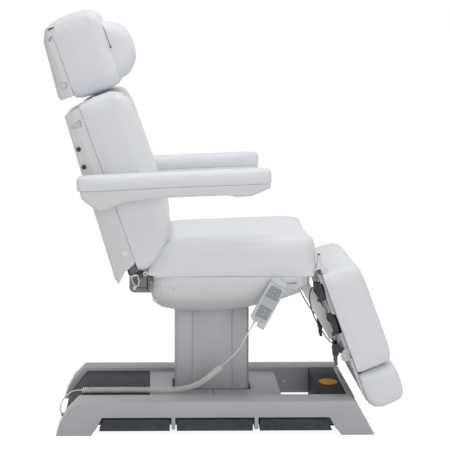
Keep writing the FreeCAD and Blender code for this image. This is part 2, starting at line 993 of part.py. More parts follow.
def sleeve(label, step, bottom, top, guide=True):
    """One telescopic stage; step counts inwards from the outer sleeve."""
    body = new_body(label)
    inset = step * (S.sleeve_wall + S.sleeve_step)
    half_x = HALF * S.column_length - inset
    half_y = HALF * S.column_width - inset
    middle = -S.column_x
    height = top - bottom

    def section(name, reach, level):
        return rectangle(
            body,
            f"{label}_{name}",
            (middle - half_x - reach, -half_y - reach),
            (middle + half_x + reach, half_y + reach),
            plane="XY_Plane",
            offset=level,
        )

    pad(body, section("outer", 0, bottom), height)
    kind = "Chamfer" if guide else "Fillet"
    dress(body, kind, S.sleeve_corner - (S.sleeve_step if guide else 0), lambda c, d: along(d, 2))
    if guide:
        reach = S.sleeve_step - S.seat_gap
        pad(body, section("guide", reach, top - S.guide_height), HALF * S.guide_height)
        dress(
            body,
            "Chamfer",
            S.sleeve_corner - S.sleeve_wall,
            lambda c, d: along(d, 2) and abs(c.y) > float(half_y) + HALF * float(reach),
        )
    pocket(body, section("inner", -S.sleeve_wall, bottom), height, back=True)
    return body


def outer_sleeve():
    """The visible column sleeve, with two panel seams down each side."""
    body = sleeve("outer_sleeve", 0, S.sleeve_bottom, S.sleeve_top, guide=False)
    middle, reach = -S.column_x, HALF * S.column_length - S.panel_seam_inset
    for i, x in enumerate((middle - reach, middle + reach)):
        for side in (1, -1):
            seam = rectangle(
                body,
                f"panel_seam_{i}_{side + 1}",
                (x, S.sleeve_bottom),
                (x + S.panel_seam_width, S.sleeve_top),
                offset=side * HALF * S.column_width,
            )
            pocket(body, seam, S.panel_seam_depth, back=side < 0)
    return body


def lift_motor():
    """The lift actuator's tube with its gear housing and motor, standing on the bed."""
    body = new_body("lift_motor")
    bed_top = S.sleeve_bottom - S.overrun
    middle, gear, tube = -S.column_x, S.lift_gear_radius, S.lift_tube_radius
    housing = rectangle(
        body, "gear_outline", (middle - gear, -gear), (middle + gear, gear), "XY_Plane", bed_top
    )
    pad(body, housing, S.lift_gear_height)
    barrel = circle(body, "tube_circle", (middle, 0), tube, "XY_Plane", bed_top)
    pad(body, barrel, S.lift_tube_top - bed_top)
    bore = circle(
        body,
        "tube_bore",
        (middle, 0),
        S.lift_rod_radius + S.running_gap,
        "XY_Plane",
        S.lift_rod_bottom - S.overrun,
    )
    pocket(body, bore, S.lift_tube_top, back=True)
    motor = rectangle(
        body,
        "motor_outline",
        (middle + HALF * tube, -0.8 * tube),
        (middle + tube + TWICE * gear, 0.8 * tube),
        "XY_Plane",
        bed_top,
    )
    pad(body, motor, TWICE * S.lift_gear_height)
    return body


def lift_rod():
    """The lift actuator's rod, fixed under the lift head."""
    body = new_body("lift_rod")
    ring = circle(
        body, "rod_circle", (-S.column_x, 0), S.lift_rod_radius, "XY_Plane", S.lift_rod_bottom
    )
    pad(body, ring, S.sleeve_top - S.lift_rod_bottom)
    return body


def rear_sockets():
    """The handset socket and the mains inlet, set in the rear cover's sloping end."""
    body = new_body("rear_sockets")
    slope = (S.cover_toe_x - S.cover_rear_x) / (S.deck_top - S.cover_toe_z)
    face = S.cover_toe_x - slope * (S.socket_z - S.cover_toe_z)
    outline = socket_outline(body, "handset_socket", S.socket_radius, -face - S.socket_length)
    pad(body, outline, TWICE * S.socket_length)
    return body


# Carriage: what the column lifts

def lift_head():
    """The plate on the sleeve with its two lugs and the tilt shaft."""
    body = new_body("lift_head")
    bottom, top = S.sleeve_top, S.sleeve_top + S.head_plate_thick
    plate = rectangle(
        body, "head_plate", (-S.head_plate_rear_x, bottom), (S.head_plate_front_x, top)
    )
    pad(body, plate, TWICE * S.tilt_lug_y, "Symmetric")
    radius, axis_x, axis_z = S.tilt_lug_radius, -S.tilt_axis_x, S.tilt_axis_z
    lug = [
        (axis_x + 0.15 * radius, bottom),
        (axis_x + TWICE * radius, bottom),
        (axis_x + radius, axis_z),
        (axis_x, axis_z + 0.8 * radius),
        (axis_x - 0.6 * radius, axis_z),
    ]
    for side in (-1, 1):
        offset = side * (S.tilt_lug_y - HALF * S.tilt_lug_thick) + HALF * S.tilt_lug_thick
        plate = polygon(body, f"tilt_lug_{side + 1}", lug, offset=-offset + S.tilt_lug_thick)
        pad(body, plate, S.tilt_lug_thick, back=True)
    end = S.frame_side_y + HALF * S.frame_side_thick
    length = end - S.tilt_lug_y + S.tilt_lug_thick
    for i, start in enumerate((S.tilt_lug_y - S.tilt_lug_thick, -end)):
        shaft = circle(
            body, f"tilt_shaft_{i}", (axis_x, axis_z), S.tilt_shaft_radius, offset=start
        )
        pad(body, shaft, length)
    foot = [
        (-S.tilt_foot_x - radius * HALF, top - S.weld),
        (-S.tilt_foot_x + radius * HALF, top - S.weld),
        (-S.tilt_foot_x + radius * HALF, S.tilt_foot_z + HALF * radius),
        (-S.tilt_foot_x - radius * HALF, S.tilt_foot_z + HALF * radius),
    ]
    for side in (-1, 1):
        gap = S.tilt_motor_radius * 0.7
        inner = S.tilt_motor_y + side * gap - (0 if side > 0 else S.tilt_lug_thick)
        pad(body, polygon(body, f"foot_lug_{side + 1}", foot, offset=inner), S.tilt_lug_thick)
    pin = circle(
        body,
        "foot_pin",
        (-S.tilt_foot_x, S.tilt_foot_z),
        S.tilt_pin_radius,
        offset=S.tilt_motor_y - S.tilt_motor_radius,
    )
    pad(body, pin, TWICE * S.tilt_motor_radius)
    return body


def tilt_angle():
    """How steeply the tilt actuator lies, in degrees, from its foot to the seat's front bar."""
    rise = float(S.tilt_front_z) - float(S.tilt_foot_z)
    run = float(S.tilt_front_x) + float(S.tilt_foot_x)
    return math.degrees(math.atan2(rise, run))


def on_tilt_line():
    """The placement that lays a shape along +X on the tilt actuator's line."""
    turn = FreeCAD.Rotation(Vector(0, 1, 0), -tilt_angle())
    place = Vector(-float(S.tilt_foot_x), -float(S.tilt_motor_y), float(S.tilt_foot_z))
    return FreeCAD.Placement(place, turn)


def rod_along_x(radius, start, end, z=0):
    """A round bar along +X at a height."""
    length = float(end) - float(start)
    return Part.makeCylinder(float(radius), length, Vector(float(start), 0, z), Vector(1, 0, 0))


def rod_along_y(radius, start, end, x=0, z=0):
    """A round bar along +Y at a place in the XZ plane."""
    foot = Vector(float(x), float(start), float(z))
    return Part.makeCylinder(float(radius), float(end) - float(start), foot, Vector(0, 1, 0))


def tilt_motor():
    """The tilt actuator's tube, hinged on the lift head's foot pin."""
    radius, length = float(S.tilt_motor_radius), float(S.tilt_motor_length)
    half, reach = 0.7 * radius - float(S.seat_gap), 0.62 * radius
    eye = flat_box((-reach, -half, -reach), (radius, half, reach))
    body = rod_along_x(radius, radius, length)
    pin = rod_along_y(S.tilt_pin_radius + S.running_gap, -radius, radius)
    bore = rod_along_x(S.tilt_rod_radius + S.running_gap, radius * TWICE, length + radius)
    shape = eye.fuse(body).cut([pin, bore]).removeSplitter()
    return feature("tilt_motor", shape, on_tilt_line())


def tilt_length():
    """Distance between the tilt actuator's two pins."""
    rise = float(S.tilt_front_z) - float(S.tilt_foot_z)
    run = float(S.tilt_front_x) + float(S.tilt_foot_x)
    return math.hypot(rise, run)


def tilt_rod():
    """The tilt actuator's rod, whose eye turns loosely on the seat's front bar."""
    radius = float(S.tilt_motor_radius)
    end = tilt_length()
    half, reach = radius * HALF, radius * 0.8
    rod = rod_along_x(S.tilt_rod_radius, TWICE * radius + float(S.overrun), end - half)
    eye = flat_box((end - reach, -half, -reach), (end + reach, half, reach))
    hole = rod_along_y(TWICE * S.tilt_pin_radius - TWICE * S.weld, -radius, radius, end)
    shape = rod.fuse(eye).cut(hole).removeSplitter()
    return feature("tilt_rod", shape, on_tilt_line())


# The tub's outline from the rim down: share of the depth, of the rear reach, of the front reach
# and of the half width
PAN_SHARES = [
    (0.0, 1.0, 0.996, 1.0),
    (0.22, 1.0, 0.99, 0.993),
    (0.44, 0.998, 0.9, 0.95),
    (0.6, 0.985, 0.72, 0.88),
    (0.74, 0.968, 0.53, 0.79),
    (0.87, 0.9, 0.36, 0.66),
    (0.96, 0.78, 0.2, 0.54),
]


def pan_form(wall):
    """The tub as a solid, its wall taken off all round."""
    def place(u, v, w):
        return Vector(u, v, w)

    levels = []
    for down, rear, front, half in PAN_SHARES:
        z = float(S.pan_top) - down * float(S.pan_depth)
        low = (-rear * float(S.pan_rear_x) + wall, -half * float(S.pan_half) + wall)
        high = (front * float(S.pan_front_x) - wall, half * float(S.pan_half) - wall)
        corner = float(S.pan_corner) * (1 + HALF * down) - wall
        levels.append((z + wall, low, high, corner))
    return soft_form(levels, place, 0)


def seat_pan():
    """The moulded tub under the seat, open for the column, the struts and the back's brackets."""
    outer, wall = pan_form(0), float(S.pan_wall)
    shape = outer.cut(pan_form(wall))
    over, top = float(S.overrun), float(S.pan_top)
    middle, gap = -float(S.column_x), float(S.column_gap)
    rear, front = -float(S.pan_rear_x), float(S.pan_front_x)
    half_x = HALF * float(S.column_length) + gap
    half_y = HALF * float(S.column_width) + gap
    rod_half, rod_low = HALF * float(S.rod_slot_width), top - HALF * float(S.pan_depth)
    cuts = [
        flat_box((middle - half_x, -half_y, 0), (middle + half_x, half_y, S.sleeve_top)),
        flat_box((rear - over, -rod_half, rod_low), (0.8 * rear, rod_half, top + over)),
    ]
    for side in (-1, 1):
        near, far = float(S.leg_ear_inner_y) - over, float(S.leg_ear_outer_y) + over
        y0, y1 = sorted((side * near, side * far))
        low = top - float(S.ear_slot_drop)
        cuts.append(flat_box((front - S.ear_slot_depth, y0, low), (front + over, y1, top + over)))
        y, half = side * float(S.strut_y), HALF * float(S.strut_slot_width)
        start = front - float(S.strut_slot_length)
        cuts.append(flat_box((start, y - half, 0), (front + over, y + half, top + over)))
        y, half = side * float(S.frame_side_y), HALF * float(S.bracket_slot_width)
        low, end = top - float(S.bracket_slot_depth), rear + float(S.bracket_slot_length)
        cuts.append(flat_box((rear - over, y - half, low), (end, y + half, top + over)))
        cuts.append(pan_recess(side))
    shape = shape.cut(cuts)
    for side in (-1, 1):
        pocket_wall = pan_recess(side, wall).common(outer).cut(pan_recess(side))
        shape = shape.fuse(pocket_wall)
    return feature("seat_pan", shape.removeSplitter())


def pan_recess(side, wall=0.0):
    """The triangular finger recess near the pan's rear end."""
    x, z = -float(S.pan_recess_x), float(S.pan_recess_z)
    half = HALF * float(S.pan_recess_width) + wall
    rise = HALF * float(S.pan_recess_height) + wall
    points = [
        (x - half, z + rise),
        (x + half, z + rise),
        (x + 0.75 * half, z - 0.4 * rise),
        (x + 0.25 * half, z - rise),
    ]
    depth = float(S.pan_recess_depth) + wall
    start = side * (float(S.pan_half) - depth)
    return prism(points, start, side * (depth + float(S.overrun)))


# Seat

def frame_side_points():
    """Outline of a seat frame side plate, with the back's bracket at its rear end."""
    rear, low, top = -S.bracket_rear_x, S.bracket_bottom, S.frame_top
    tilt_x, tilt_z, lug = -S.tilt_axis_x, S.tilt_axis_z, S.tilt_lug_radius
    corner, end = S.bracket_corner, S.side_end
    return [
        (rear + corner, low),
        (tilt_x + 0.2 * lug, low - 0.6 * lug),
        (tilt_x + 1.4 * lug, tilt_z - 0.3 * lug),
        (tilt_x + TWICE * lug, top - S.frame_depth),
        (S.strut_x - S.side_slope, top - S.frame_depth),
        (S.strut_x + end, top - end),
        (S.strut_x + end, top),
        (rear + corner, top),
        (rear, top - corner),
        (rear, low + corner),
    ]


def seat_frame():
    """The welded seat frame: side plates with the back's brackets, cross bars and leg barrels."""
    body = new_body("seat_frame")
    side_y, thick = S.frame_side_y, S.frame_side_thick
    points = frame_side_points()
    for side in (-1, 1):
        offset = side_y - HALF * thick if side < 0 else -side_y - HALF * thick
        pad(body, polygon(body, f"frame_side_{side + 1}", points, offset=offset), thick)
    bar = S.cross_bar_length
    bars = [-S.tilt_axis_x + TWICE * bar, S.strut_x - S.front_bar_inset - bar]
    for i, x in enumerate(bars):
        beam = rectangle(body, f"cross_bar_{i}", (x, S.frame_top - bar), (x + bar, S.frame_top))
        pad(body, beam, TWICE * side_y, "Symmetric")
    board = rectangle(
        body,
        "seat_board",
        (-S.tilt_axis_x + S.board_inset, S.frame_top),
        (S.leg_x - S.board_front_gap, S.frame_top + S.seat_board_thick),
    )
    pad(body, board, TWICE * (side_y + S.beam_width), "Symmetric")
    leg_barrels(body)
    strut_hangers(body)
    holes = [
        ("tilt_bore", -S.tilt_axis_x, S.tilt_axis_z, S.tilt_shaft_radius),
        ("hinge_bore", -S.hinge_x, S.hinge_z, S.hinge_pin_radius),
    ]
    for name, x, z, radius in holes:
        hole = circle(body, name, (x, z), radius + S.running_gap)
        pocket(body, hole, TWICE * (side_y + thick), "Symmetric")
    tilt_ears(body)
    return body


def leg_barrels(body):
    """The seat frame's two eight-sided barrels that carry the legs' pins, on their necks."""
    gap = S.leg_ear_thick + S.seat_gap
    radius, length = S.leg_barrel_radius, S.leg_ear_outer_y - S.leg_ear_inner_y - TWICE * gap
    flat = radius * math.tan(math.pi / (TWICE * TWICE * TWICE))
    ring = [
        (S.leg_x + a, S.leg_z + b)
        for a, b in (
            (radius, -flat), (radius, flat), (flat, radius), (-flat, radius),
            (-radius, flat), (-radius, -flat), (-flat, -radius), (flat, -radius),
        )
    ]
    top, under = S.frame_top + S.weld, S.frame_top - S.neck_thick
    neck = [
        (S.leg_x - S.neck_length, top),
        (S.leg_x - S.neck_length, under),
        (S.leg_x - S.neck_front, under),
        (S.leg_x + 0.6 * radius, S.leg_z - 0.7 * radius),
        (S.leg_x - 0.7 * radius, S.leg_z + HALF * radius),
        (S.leg_x - S.neck_rise, top),
    ]
    for i, start in enumerate((S.leg_ear_inner_y + gap, -S.leg_ear_outer_y + gap)):
        pad(body, polygon(body, f"leg_barrel_{i}", ring, offset=start), length)
        pad(body, polygon(body, f"leg_neck_{i}", neck, offset=start), length)
    bore = circle(body, "leg_bore", (S.leg_x, S.leg_z), S.leg_pin_radius + S.running_gap)
    pocket(body, bore, TWICE * (S.leg_ear_outer_y + S.overrun), "Symmetric")


def strut_hangers(body):
    """The seat frame's hangers with the pins that the leg struts turn on."""
    gap, thick, half = HALF * S.strut_depth + S.seat_gap, S.hanger_thick, S.hanger_half
    top = S.frame_top + S.weld
    hanger = [
        (S.strut_x - S.hanger_length, top),
        (S.strut_x - S.hanger_length, S.frame_top - S.hanger_rear_drop),
        (S.strut_x - half, S.strut_z - half),
        (S.strut_x, S.strut_z - S.hanger_reach),
        (S.strut_x + half, S.strut_z - half),
        (S.strut_x + S.hanger_reach, top),
    ]
    for i, middle in enumerate((S.strut_y, -S.strut_y)):
        for j, start in enumerate((middle - gap - thick, middle + gap)):
            pad(body, polygon(body, f"hanger_{i}_{j}", hanger, offset=start), thick)
        reach = gap + HALF * thick
        pin = circle(
            body,
            f"strut_pin_{i}",
            (S.strut_x, S.strut_z),
            S.strut_pin_radius,
            offset=middle - reach,
        )
        pad(body, pin, TWICE * reach)


def tilt_ears(body):
    """The seat frame's two ears with the pin for the tilt actuator's front eye."""
    half, thick, reach = HALF * S.tilt_motor_radius, S.tilt_ear_thick, S.tilt_ear_reach
    top = S.frame_top + S.weld
    ear = [
        (S.tilt_front_x - S.tilt_ear_half, top),
        (S.tilt_front_x - reach, S.tilt_front_z - reach),
        (S.tilt_front_x + reach, S.tilt_front_z - reach),
        (S.tilt_front_x + S.tilt_ear_half, top),
    ]
    gap = half + TWICE * S.seat_gap
    for i, start in enumerate((S.tilt_motor_y - gap - thick, S.tilt_motor_y + gap)):
        pad(body, polygon(body, f"tilt_ear_{i}", ear, offset=start), thick)
    pin = circle(
        body,
        "tilt_pin",
        (S.tilt_front_x, S.tilt_front_z),
        S.tilt_pin_radius,
        offset=S.tilt_motor_y - gap - HALF * thick,
    )
    pad(body, pin, TWICE * gap + thick)


# Seat cushion from its base up: share of the thickness, of the rear reach, of the front reach
# and of the half width, and the corner
SEAT_SHARES = [
    (0.0, 0.965, 0.972, 0.955, 26),
    (0.12, 0.985, 0.992, 0.99, 32),
    (0.3, 0.915, 1.0, 1.0, 38),
    (0.5, 0.84, 1.0, 1.0, 40),
    (0.78, 0.77, 0.995, 0.992, 40),
    (0.92, 0.725, 0.965, 0.955, 44),
    (1.0, 0.64, 0.87, 0.86, 52),
]


def seat_cushion():
    """The seat cushion, rounded off under the back cushion and crowned on top."""
    lean = leaning(0, S.seat_base, -S.seat_lean)

    def place(u, v, w):
        return Vector(u, v, w)

    levels = []
    for up, rear, front, half, corner in SEAT_SHARES:
        low = (-rear * float(S.seat_rear_x), -half * float(S.seat_half))
        high = (front * float(S.seat_front_x), half * float(S.seat_half))
        levels.append((up * float(S.seat_thick), low, high, corner))
    shape = soft_form(levels, place)
    shape.Placement = lean
    reach, gap = float(S.seat_front_x), float(S.overrun)
    wide = TWICE * reach
    cuts = [flat_box((-wide, -wide, 0), (wide, wide, S.seat_base))]
    notch = float(S.hinge_notch)
    for side in (-1, 1):
        inner, outer = float(S.leg_ear_inner_y) - gap, float(S.leg_ear_outer_y) + gap
        y0, y1 = sorted((side * inner, side * outer))
        x, z = float(S.leg_x), float(S.leg_z)
        cuts.append(flat_box((x - notch, y0, 0), (x + notch, y1, z + notch)))
    return feature("seat_cushion", shape.cut(cuts))


def recline_motor():
    """The back's actuator, lying in the pan and fixed to the seat frame."""
    z, radius = crank_z(), float(S.recline_motor_radius)
    start = -float(S.recline_motor_x) + TWICE * radius
    end = start + float(S.recline_motor_length)
    reach = float(S.recline_gear_reach)
    body = flat_box((start, -radius, z - radius), (end, radius, z + radius))
    gear_start = end - float(S.recline_gear_length)
    gear = flat_box((gear_start, -radius, z - radius), (end, radius + reach, S.frame_top))
    bore = rod_along_x(S.recline_rod_radius + S.running_gap, start - reach, end - reach, z)
    return feature("recline_motor", body.fuse(gear).cut(bore).removeSplitter())


def crank_place():
    """The crank pin at rest, in world x and z."""
    turn = math.radians(-float(S.crank_turn))
    x = -float(S.hinge_x) + float(S.crank_radius) * math.cos(turn)
    z = float(S.hinge_z) + float(S.crank_radius) * math.sin(turn)
    return x, z


def crank_z():
    """Height of the recline rod."""
    return crank_place()[1]


def recline_rod():
    """The recline actuator's rod, whose eye sits loosely round the crank pin."""
    x, z = crank_place()
    half = float(S.crank_y) - HALF * float(S.crank_thick) - float(S.seat_gap) * TWICE
    reach, hole_radius = float(S.recline_eye_radius), float(S.recline_eye_bore)
    eye = flat_box((x - reach, -half, z - reach), (x + reach, half, z + reach))
    hole = rod_along_y(hole_radius, -half - reach, half + reach, x, z)
    start = -float(S.recline_motor_x) + TWICE * float(S.recline_motor_radius)
    rod = rod_along_x(
        S.recline_rod_radius, x + float(S.recline_rod_start), start + float(S.recline_rod_inside), z
    )
    return feature("recline_rod", eye.fuse(rod).cut(hole).removeSplitter())


# Back, modelled upright along its own +Z from the hinge and then leant

def on_back(thing):
    """Leans a body of the back about the hinge."""
    set_place(thing, -S.hinge_x, S.hinge_z, -S.back_lean)


def back_placement():
    return leaning(-S.hinge_x, S.hinge_z, -S.back_lean)


def arm_in_back():
    """The arm pivot in the back's own upright frame."""
    dx = -float(S.arm_x) + float(S.hinge_x)
    dz = float(S.arm_z) - float(S.hinge_z)
    sin, cos = sine(S.back_lean), cosine(S.back_lean)
    return dx * cos + dz * sin, -dx * sin + dz * cos


def back_frame():
    """The welded back frame: two side members, hinge arms, crank, arm shafts and sockets."""
    height, depth = float(S.back_member_top), float(S.back_member_depth)
    y, thick = float(S.back_member_y), float(S.back_member_thick)
    rear, front, foot = -float(S.back_member_rear), float(S.back_member_front), float(S.back_member_foot)
    member = [
        (rear, foot),
        (front, foot),
        (front, height),
        (-0.9 * depth, height),
        (-0.9 * depth, 0.7 * height),
        (-float(S.back_member_waist), 0.45 * height),
    ]
    half, reach, arm_top = float(S.back_arm_half), float(S.back_arm_reach), float(S.back_arm_height)
    hinge_arm = [
        (rear, arm_top),
        (rear, foot),
        (-half, 0),
        (-front, -reach),
        (front, -reach),
        (half, 0),
        (front, foot),
        (front, arm_top),
    ]
    join_low = float(S.back_arm_join)
    join = [(rear, arm_top), (rear, join_low), (front, join_low), (front, arm_top)]
    arm_n, arm_up = arm_in_back()
    arm_y, arm_thick = float(S.back_arm_y), float(S.back_arm_thick)
    side_y = float(S.frame_side_y) - HALF * float(S.frame_side_thick)
    shaft_end = float(S.arm_inner_y) + 0.6 * float(S.arm_width)
    solids, bores = [], []
    for side in (-1, 1):
        solids += [
            prism(member, side * y, side * thick),
            prism(hinge_arm, side * arm_y, side * arm_thick),
            prism(join, side * arm_y, side * (y + thick - arm_y)),
            rod_between(S.hinge_pin_radius, side * side_y, side * (arm_y + arm_thick), 0, 0),
            rod_between(S.arm_shaft_radius, side * y, side * shaft_end, arm_n, arm_up),
        ]
        for n, up in socket_places():
            block, bore = accessory_socket(side, n, up)
            solids.append(block)
            bores.append(bore)
    bar_rear, bar_high = float(S.back_bar_rear), float(S.back_bar_height)
    wide = y + float(S.weld)
    for up in (float(S.back_bar_low), height - float(S.back_bar_drop)):
        solids.append(flat_box((-bar_rear, -wide, up), (front, wide, up + bar_high)))
    solids += crank_solids()
    shape = solids[0].fuse(solids[1:]).cut(bores).removeSplitter()
    return feature("back_frame", shape, back_placement())


def rod_between(radius, start, end, x, z):
    """A round bar between two places across, in either order."""
    low, high = sorted((float(start), float(end)))
    return rod_along_y(radius, low, high, x, z)


# Flats round an accessory socket
SOCKET_BLOCK_SIDES = 8


def socket_places():
    """The accessory sockets' places in the back's own upright frame."""
    return [
        (-float(S.socket_upper_n), float(S.socket_upper_z)),
        (-float(S.socket_lower_n), float(S.socket_lower_z)),
    ]


def accessory_socket(side, n, up):
    """An eight-sided block on the back's side member, and the round bore in it."""
    y, reach = float(S.back_member_y), float(S.socket_block)
    end = float(S.shell_half) - float(S.shell_wall) - float(S.seat_gap)
    ring = []
    for i in range(SOCKET_BLOCK_SIDES):
        angle = TWICE * math.pi * (i + HALF) / SOCKET_BLOCK_SIDES
        ring.append((n + reach * math.cos(angle), up + reach * math.sin(angle)))
    block = prism(ring, side * y, side * (end - y))
    bore = rod_between(S.socket_bore_radius, side * y, side * float(S.shell_half), n, up)
    return block, bore


def crank_solids():
    """The two cheeks of the crank in the middle of the back, and its pin."""
    x, up = crank_in_back()
    root, half, reach = float(S.crank_root), float(S.crank_half), float(S.crank_reach)
    front, waist, top = float(S.back_member_front), float(S.crank_waist), float(S.crank_top)
    cheek = [
        (-root, top),
        (-root, waist),
        (x - half, up + HALF * half),
        (x - half, up - reach),
        (x + half, up - reach),
        (x + root, up + HALF * root),
        (front, waist),
        (front, top),
    ]
    thick, y = float(S.crank_thick), float(S.crank_y)
    solids = [prism(cheek, side * y - HALF * thick, thick) for side in (-1, 1)]
    solids.append(rod_along_y(S.crank_pin_radius, -y, y, x, up))
    return solids


def crank_in_back():
    """The crank pin in the back's own upright frame."""
    x, z = crank_place()
    dx, dz = x + float(S.hinge_x), z - float(S.hinge_z)
    sin, cos = sine(S.back_lean), cosine(S.back_lean)
    return dx * cos + dz * sin, -dx * sin + dz * cos


# The shell's side outline: share of the depth behind its front plane, and of the height
BACK_SHELL_SHARES = [
    (0.0, 1.0),
    (0.66, 0.986),
    (0.81, 0.657),
    (0.885, 0.359),
    (1.0, 0.044),
    (0.925, 0.01),
    (0.51, 0.065),
    (0.2, 0.083),
    (0.0, 0.1),
]


def back_shell():
    """The hard shell behind the back: a tray with deep side skirts and a pointed lower corner."""
    body = new_body("back_shell")
    front, depth, height = S.shell_front, S.shell_depth, S.shell_height
    outline = [(front - a * depth, b * height) for a, b in BACK_SHELL_SHARES]
    pad(body, polygon(body, "shell_outline", outline), TWICE * S.shell_half, "Symmetric")
    dress(
        body,
        "Chamfer",
        S.shell_corner,
        lambda c, d: abs(c.y) > float(S.shell_half) - NEAR
        and c.x < -0.4 * float(depth)
        and 0.1 * float(height) < c.z < 0.95 * float(height),
    )
    wall = S.shell_wall
    hollow = [
        (front + S.overrun, height - wall * TWICE),
        (front - 0.66 * depth + wall, 0.986 * height - wall * TWICE),
        (front - 0.81 * depth + wall, 0.657 * height),
        (front - 0.885 * depth + wall, 0.359 * height),
        (front - depth + wall * 1.1, 0.044 * height),
        (front - 0.95 * depth + wall, -S.overrun),
        (front + S.overrun, -S.overrun),
    ]
    inside = polygon(body, "shell_hollow", hollow)
    pocket(body, inside, TWICE * (S.shell_half - wall), "Symmetric")
    arm_n, arm_up = arm_in_back()
    holes = [
        ("upper_hole", -S.socket_upper_n, S.socket_upper_z, S.socket_bore_radius + S.weld),
        ("lower_hole", -S.socket_lower_n, S.socket_lower_z, S.socket_bore_radius + S.weld),
        ("arm_hole", arm_n, arm_up, S.arm_shaft_radius + S.running_gap),
    ]
    for name, n, up, radius in holes:
        hole = circle(body, name, (n, up), radius)
        pocket(body, hole, TWICE * (S.shell_half + S.overrun), "Symmetric")
    on_back(body)
    return body


# Flats round a cap
CAP_SIDES = 24


def back_caps():
    """The flat round caps on the shell's sides, over its lower fixings."""
    side = float(S.shell_half)
    ring = []
    for i in range(CAP_SIDES):
        angle = TWICE * math.pi * i / CAP_SIDES
        across, up = math.cos(angle), math.sin(angle)
        ring.append((S.cap_radius * across - S.cap_n, S.cap_radius * up + S.cap_z))
    caps = [prism(ring, side, S.cap_thick), prism(ring, -side, -S.cap_thick)]
    return feature("back_caps", Part.makeCompound(caps), back_placement())


# The back cushion from its board forward: share of the depth, of the top, the lower edge as a
# share of the top, the share of the half width and the corner
BACK_CUSHION_SHARES = [
    (0.0, 0.978, 0.062, 0.965, 24),
    (0.1, 0.997, 0.042, 0.995, 30),
    (0.32, 1.0, 0.054, 1.0, 34),
    (0.55, 1.0, 0.095, 1.0, 36),
    (0.8, 0.997, 0.155, 0.99, 40),
    (0.93, 0.962, 0.2, 0.945, 46),
    (1.0, 0.88, 0.28, 0.84, 56),
]


def upright_cushion(label, shares, base, depth, top, bottom, half, placement, slots):
    """A cushion on an upright board: it grows forward from base, between bottom and top."""
    def place(u, v, w):
        return Vector(w, u, v)

    levels = []
    for out, high_share, low_share, half_share, corner in shares:
        low = (-half_share * half, bottom + low_share * (top - bottom))
        high = (half_share * half, bottom + high_share * (top - bottom))
        levels.append((base + out * depth, low, high, corner))
    shape = soft_form(levels, place)
    for slot in slots:
        shape = shape.cut(slot)
    return feature(label, shape, placement)


def bar_boxes(gap, low, high):
    """The two head bars grown by a gap, between two heights."""
    boxes = []
    for side in (-1, 1):
        inner = float(S.bar_y)
        outer = inner + float(S.bar_width)
        y0, y1 = sorted((side * inner, side * outer))
        n = float(S.bar_n)
        thick = float(S.bar_thick)
        boxes.append(flat_box((n - gap, y0 - gap, low), (n + thick + gap, y1 + gap, high)))
    return boxes


def head_base():
    """Height of the head cushion's lower edge above the hinge, along the back."""
    return float(S.cushion_top) + float(S.head_gap)


def back_cushion():
    """The back cushion, with slots for the head rest's bars."""
    gap = float(S.seat_gap)
    top = float(S.cushion_top)
    slots = bar_boxes(gap, top - float(S.bar_below) - gap, top + float(S.overrun))
    return upright_cushion(
        "back_cushion",
        BACK_CUSHION_SHARES,
        float(S.shell_front) + gap,
        float(S.cushion_depth),
        top,
        0,
        float(S.cushion_half),
        back_placement(),
        slots,
    )


# Head rest

HEAD_CUSHION_SHARES = [
    (0.0, 0.92, 0.06, 0.94, 30),
    (0.12, 0.97, 0.008, 0.985, 40),
    (0.32, 0.998, 0.0, 1.0, 52),
    (0.6, 1.0, 0.0, 1.0, 58),
    (0.8, 0.965, 0.012, 0.985, 60),
    (0.93, 0.9, 0.03, 0.95, 58),
    (1.0, 0.8, 0.1, 0.86, 50),
]
PILLOW_SHARES = [
    (0.0, 0.94, 0.06, 0.9, 30),
    (0.3, 1.0, 0.0, 1.0, 42),
    (0.62, 0.93, 0.07, 0.97, 48),
    (0.87, 0.78, 0.22, 0.88, 44),
    (1.0, 0.62, 0.38, 0.74, 20),
]


def head_cushion():
    gap = float(S.seat_gap)
    base = head_base()
    slots = bar_boxes(gap, base - float(S.overrun), base + float(S.bar_above) + gap)
    return upright_cushion(
        "head_cushion",
        HEAD_CUSHION_SHARES,
        float(S.head_shell_front) + gap,
        float(S.head_depth),
        base + float(S.head_height),
        base,
        float(S.head_half),
        back_placement(),
        slots,
    )


def head_pillow():
    """The D-shaped pillow on the head cushion."""
    low = head_base() + float(S.pillow_lift)
    front = float(S.head_shell_front) + float(S.head_depth) + TWICE * float(S.seat_gap)
    return upright_cushion(
        "head_pillow",
        PILLOW_SHARES,
        front,
        float(S.pillow_depth),
        low + float(S.pillow_height),
        low,
        float(S.pillow_half),
        back_placement(),
        [],
    )


# The head shell's side outline: share of the depth behind its front plane, and of the height
HEAD_SHELL_SHARES = [
    (-0.2, 1.0),
    (0.25, 0.99),
    (0.54, 0.83),
    (0.8, 0.05),
    (0.68, 0.0),
    (0.0, 0.0),
]


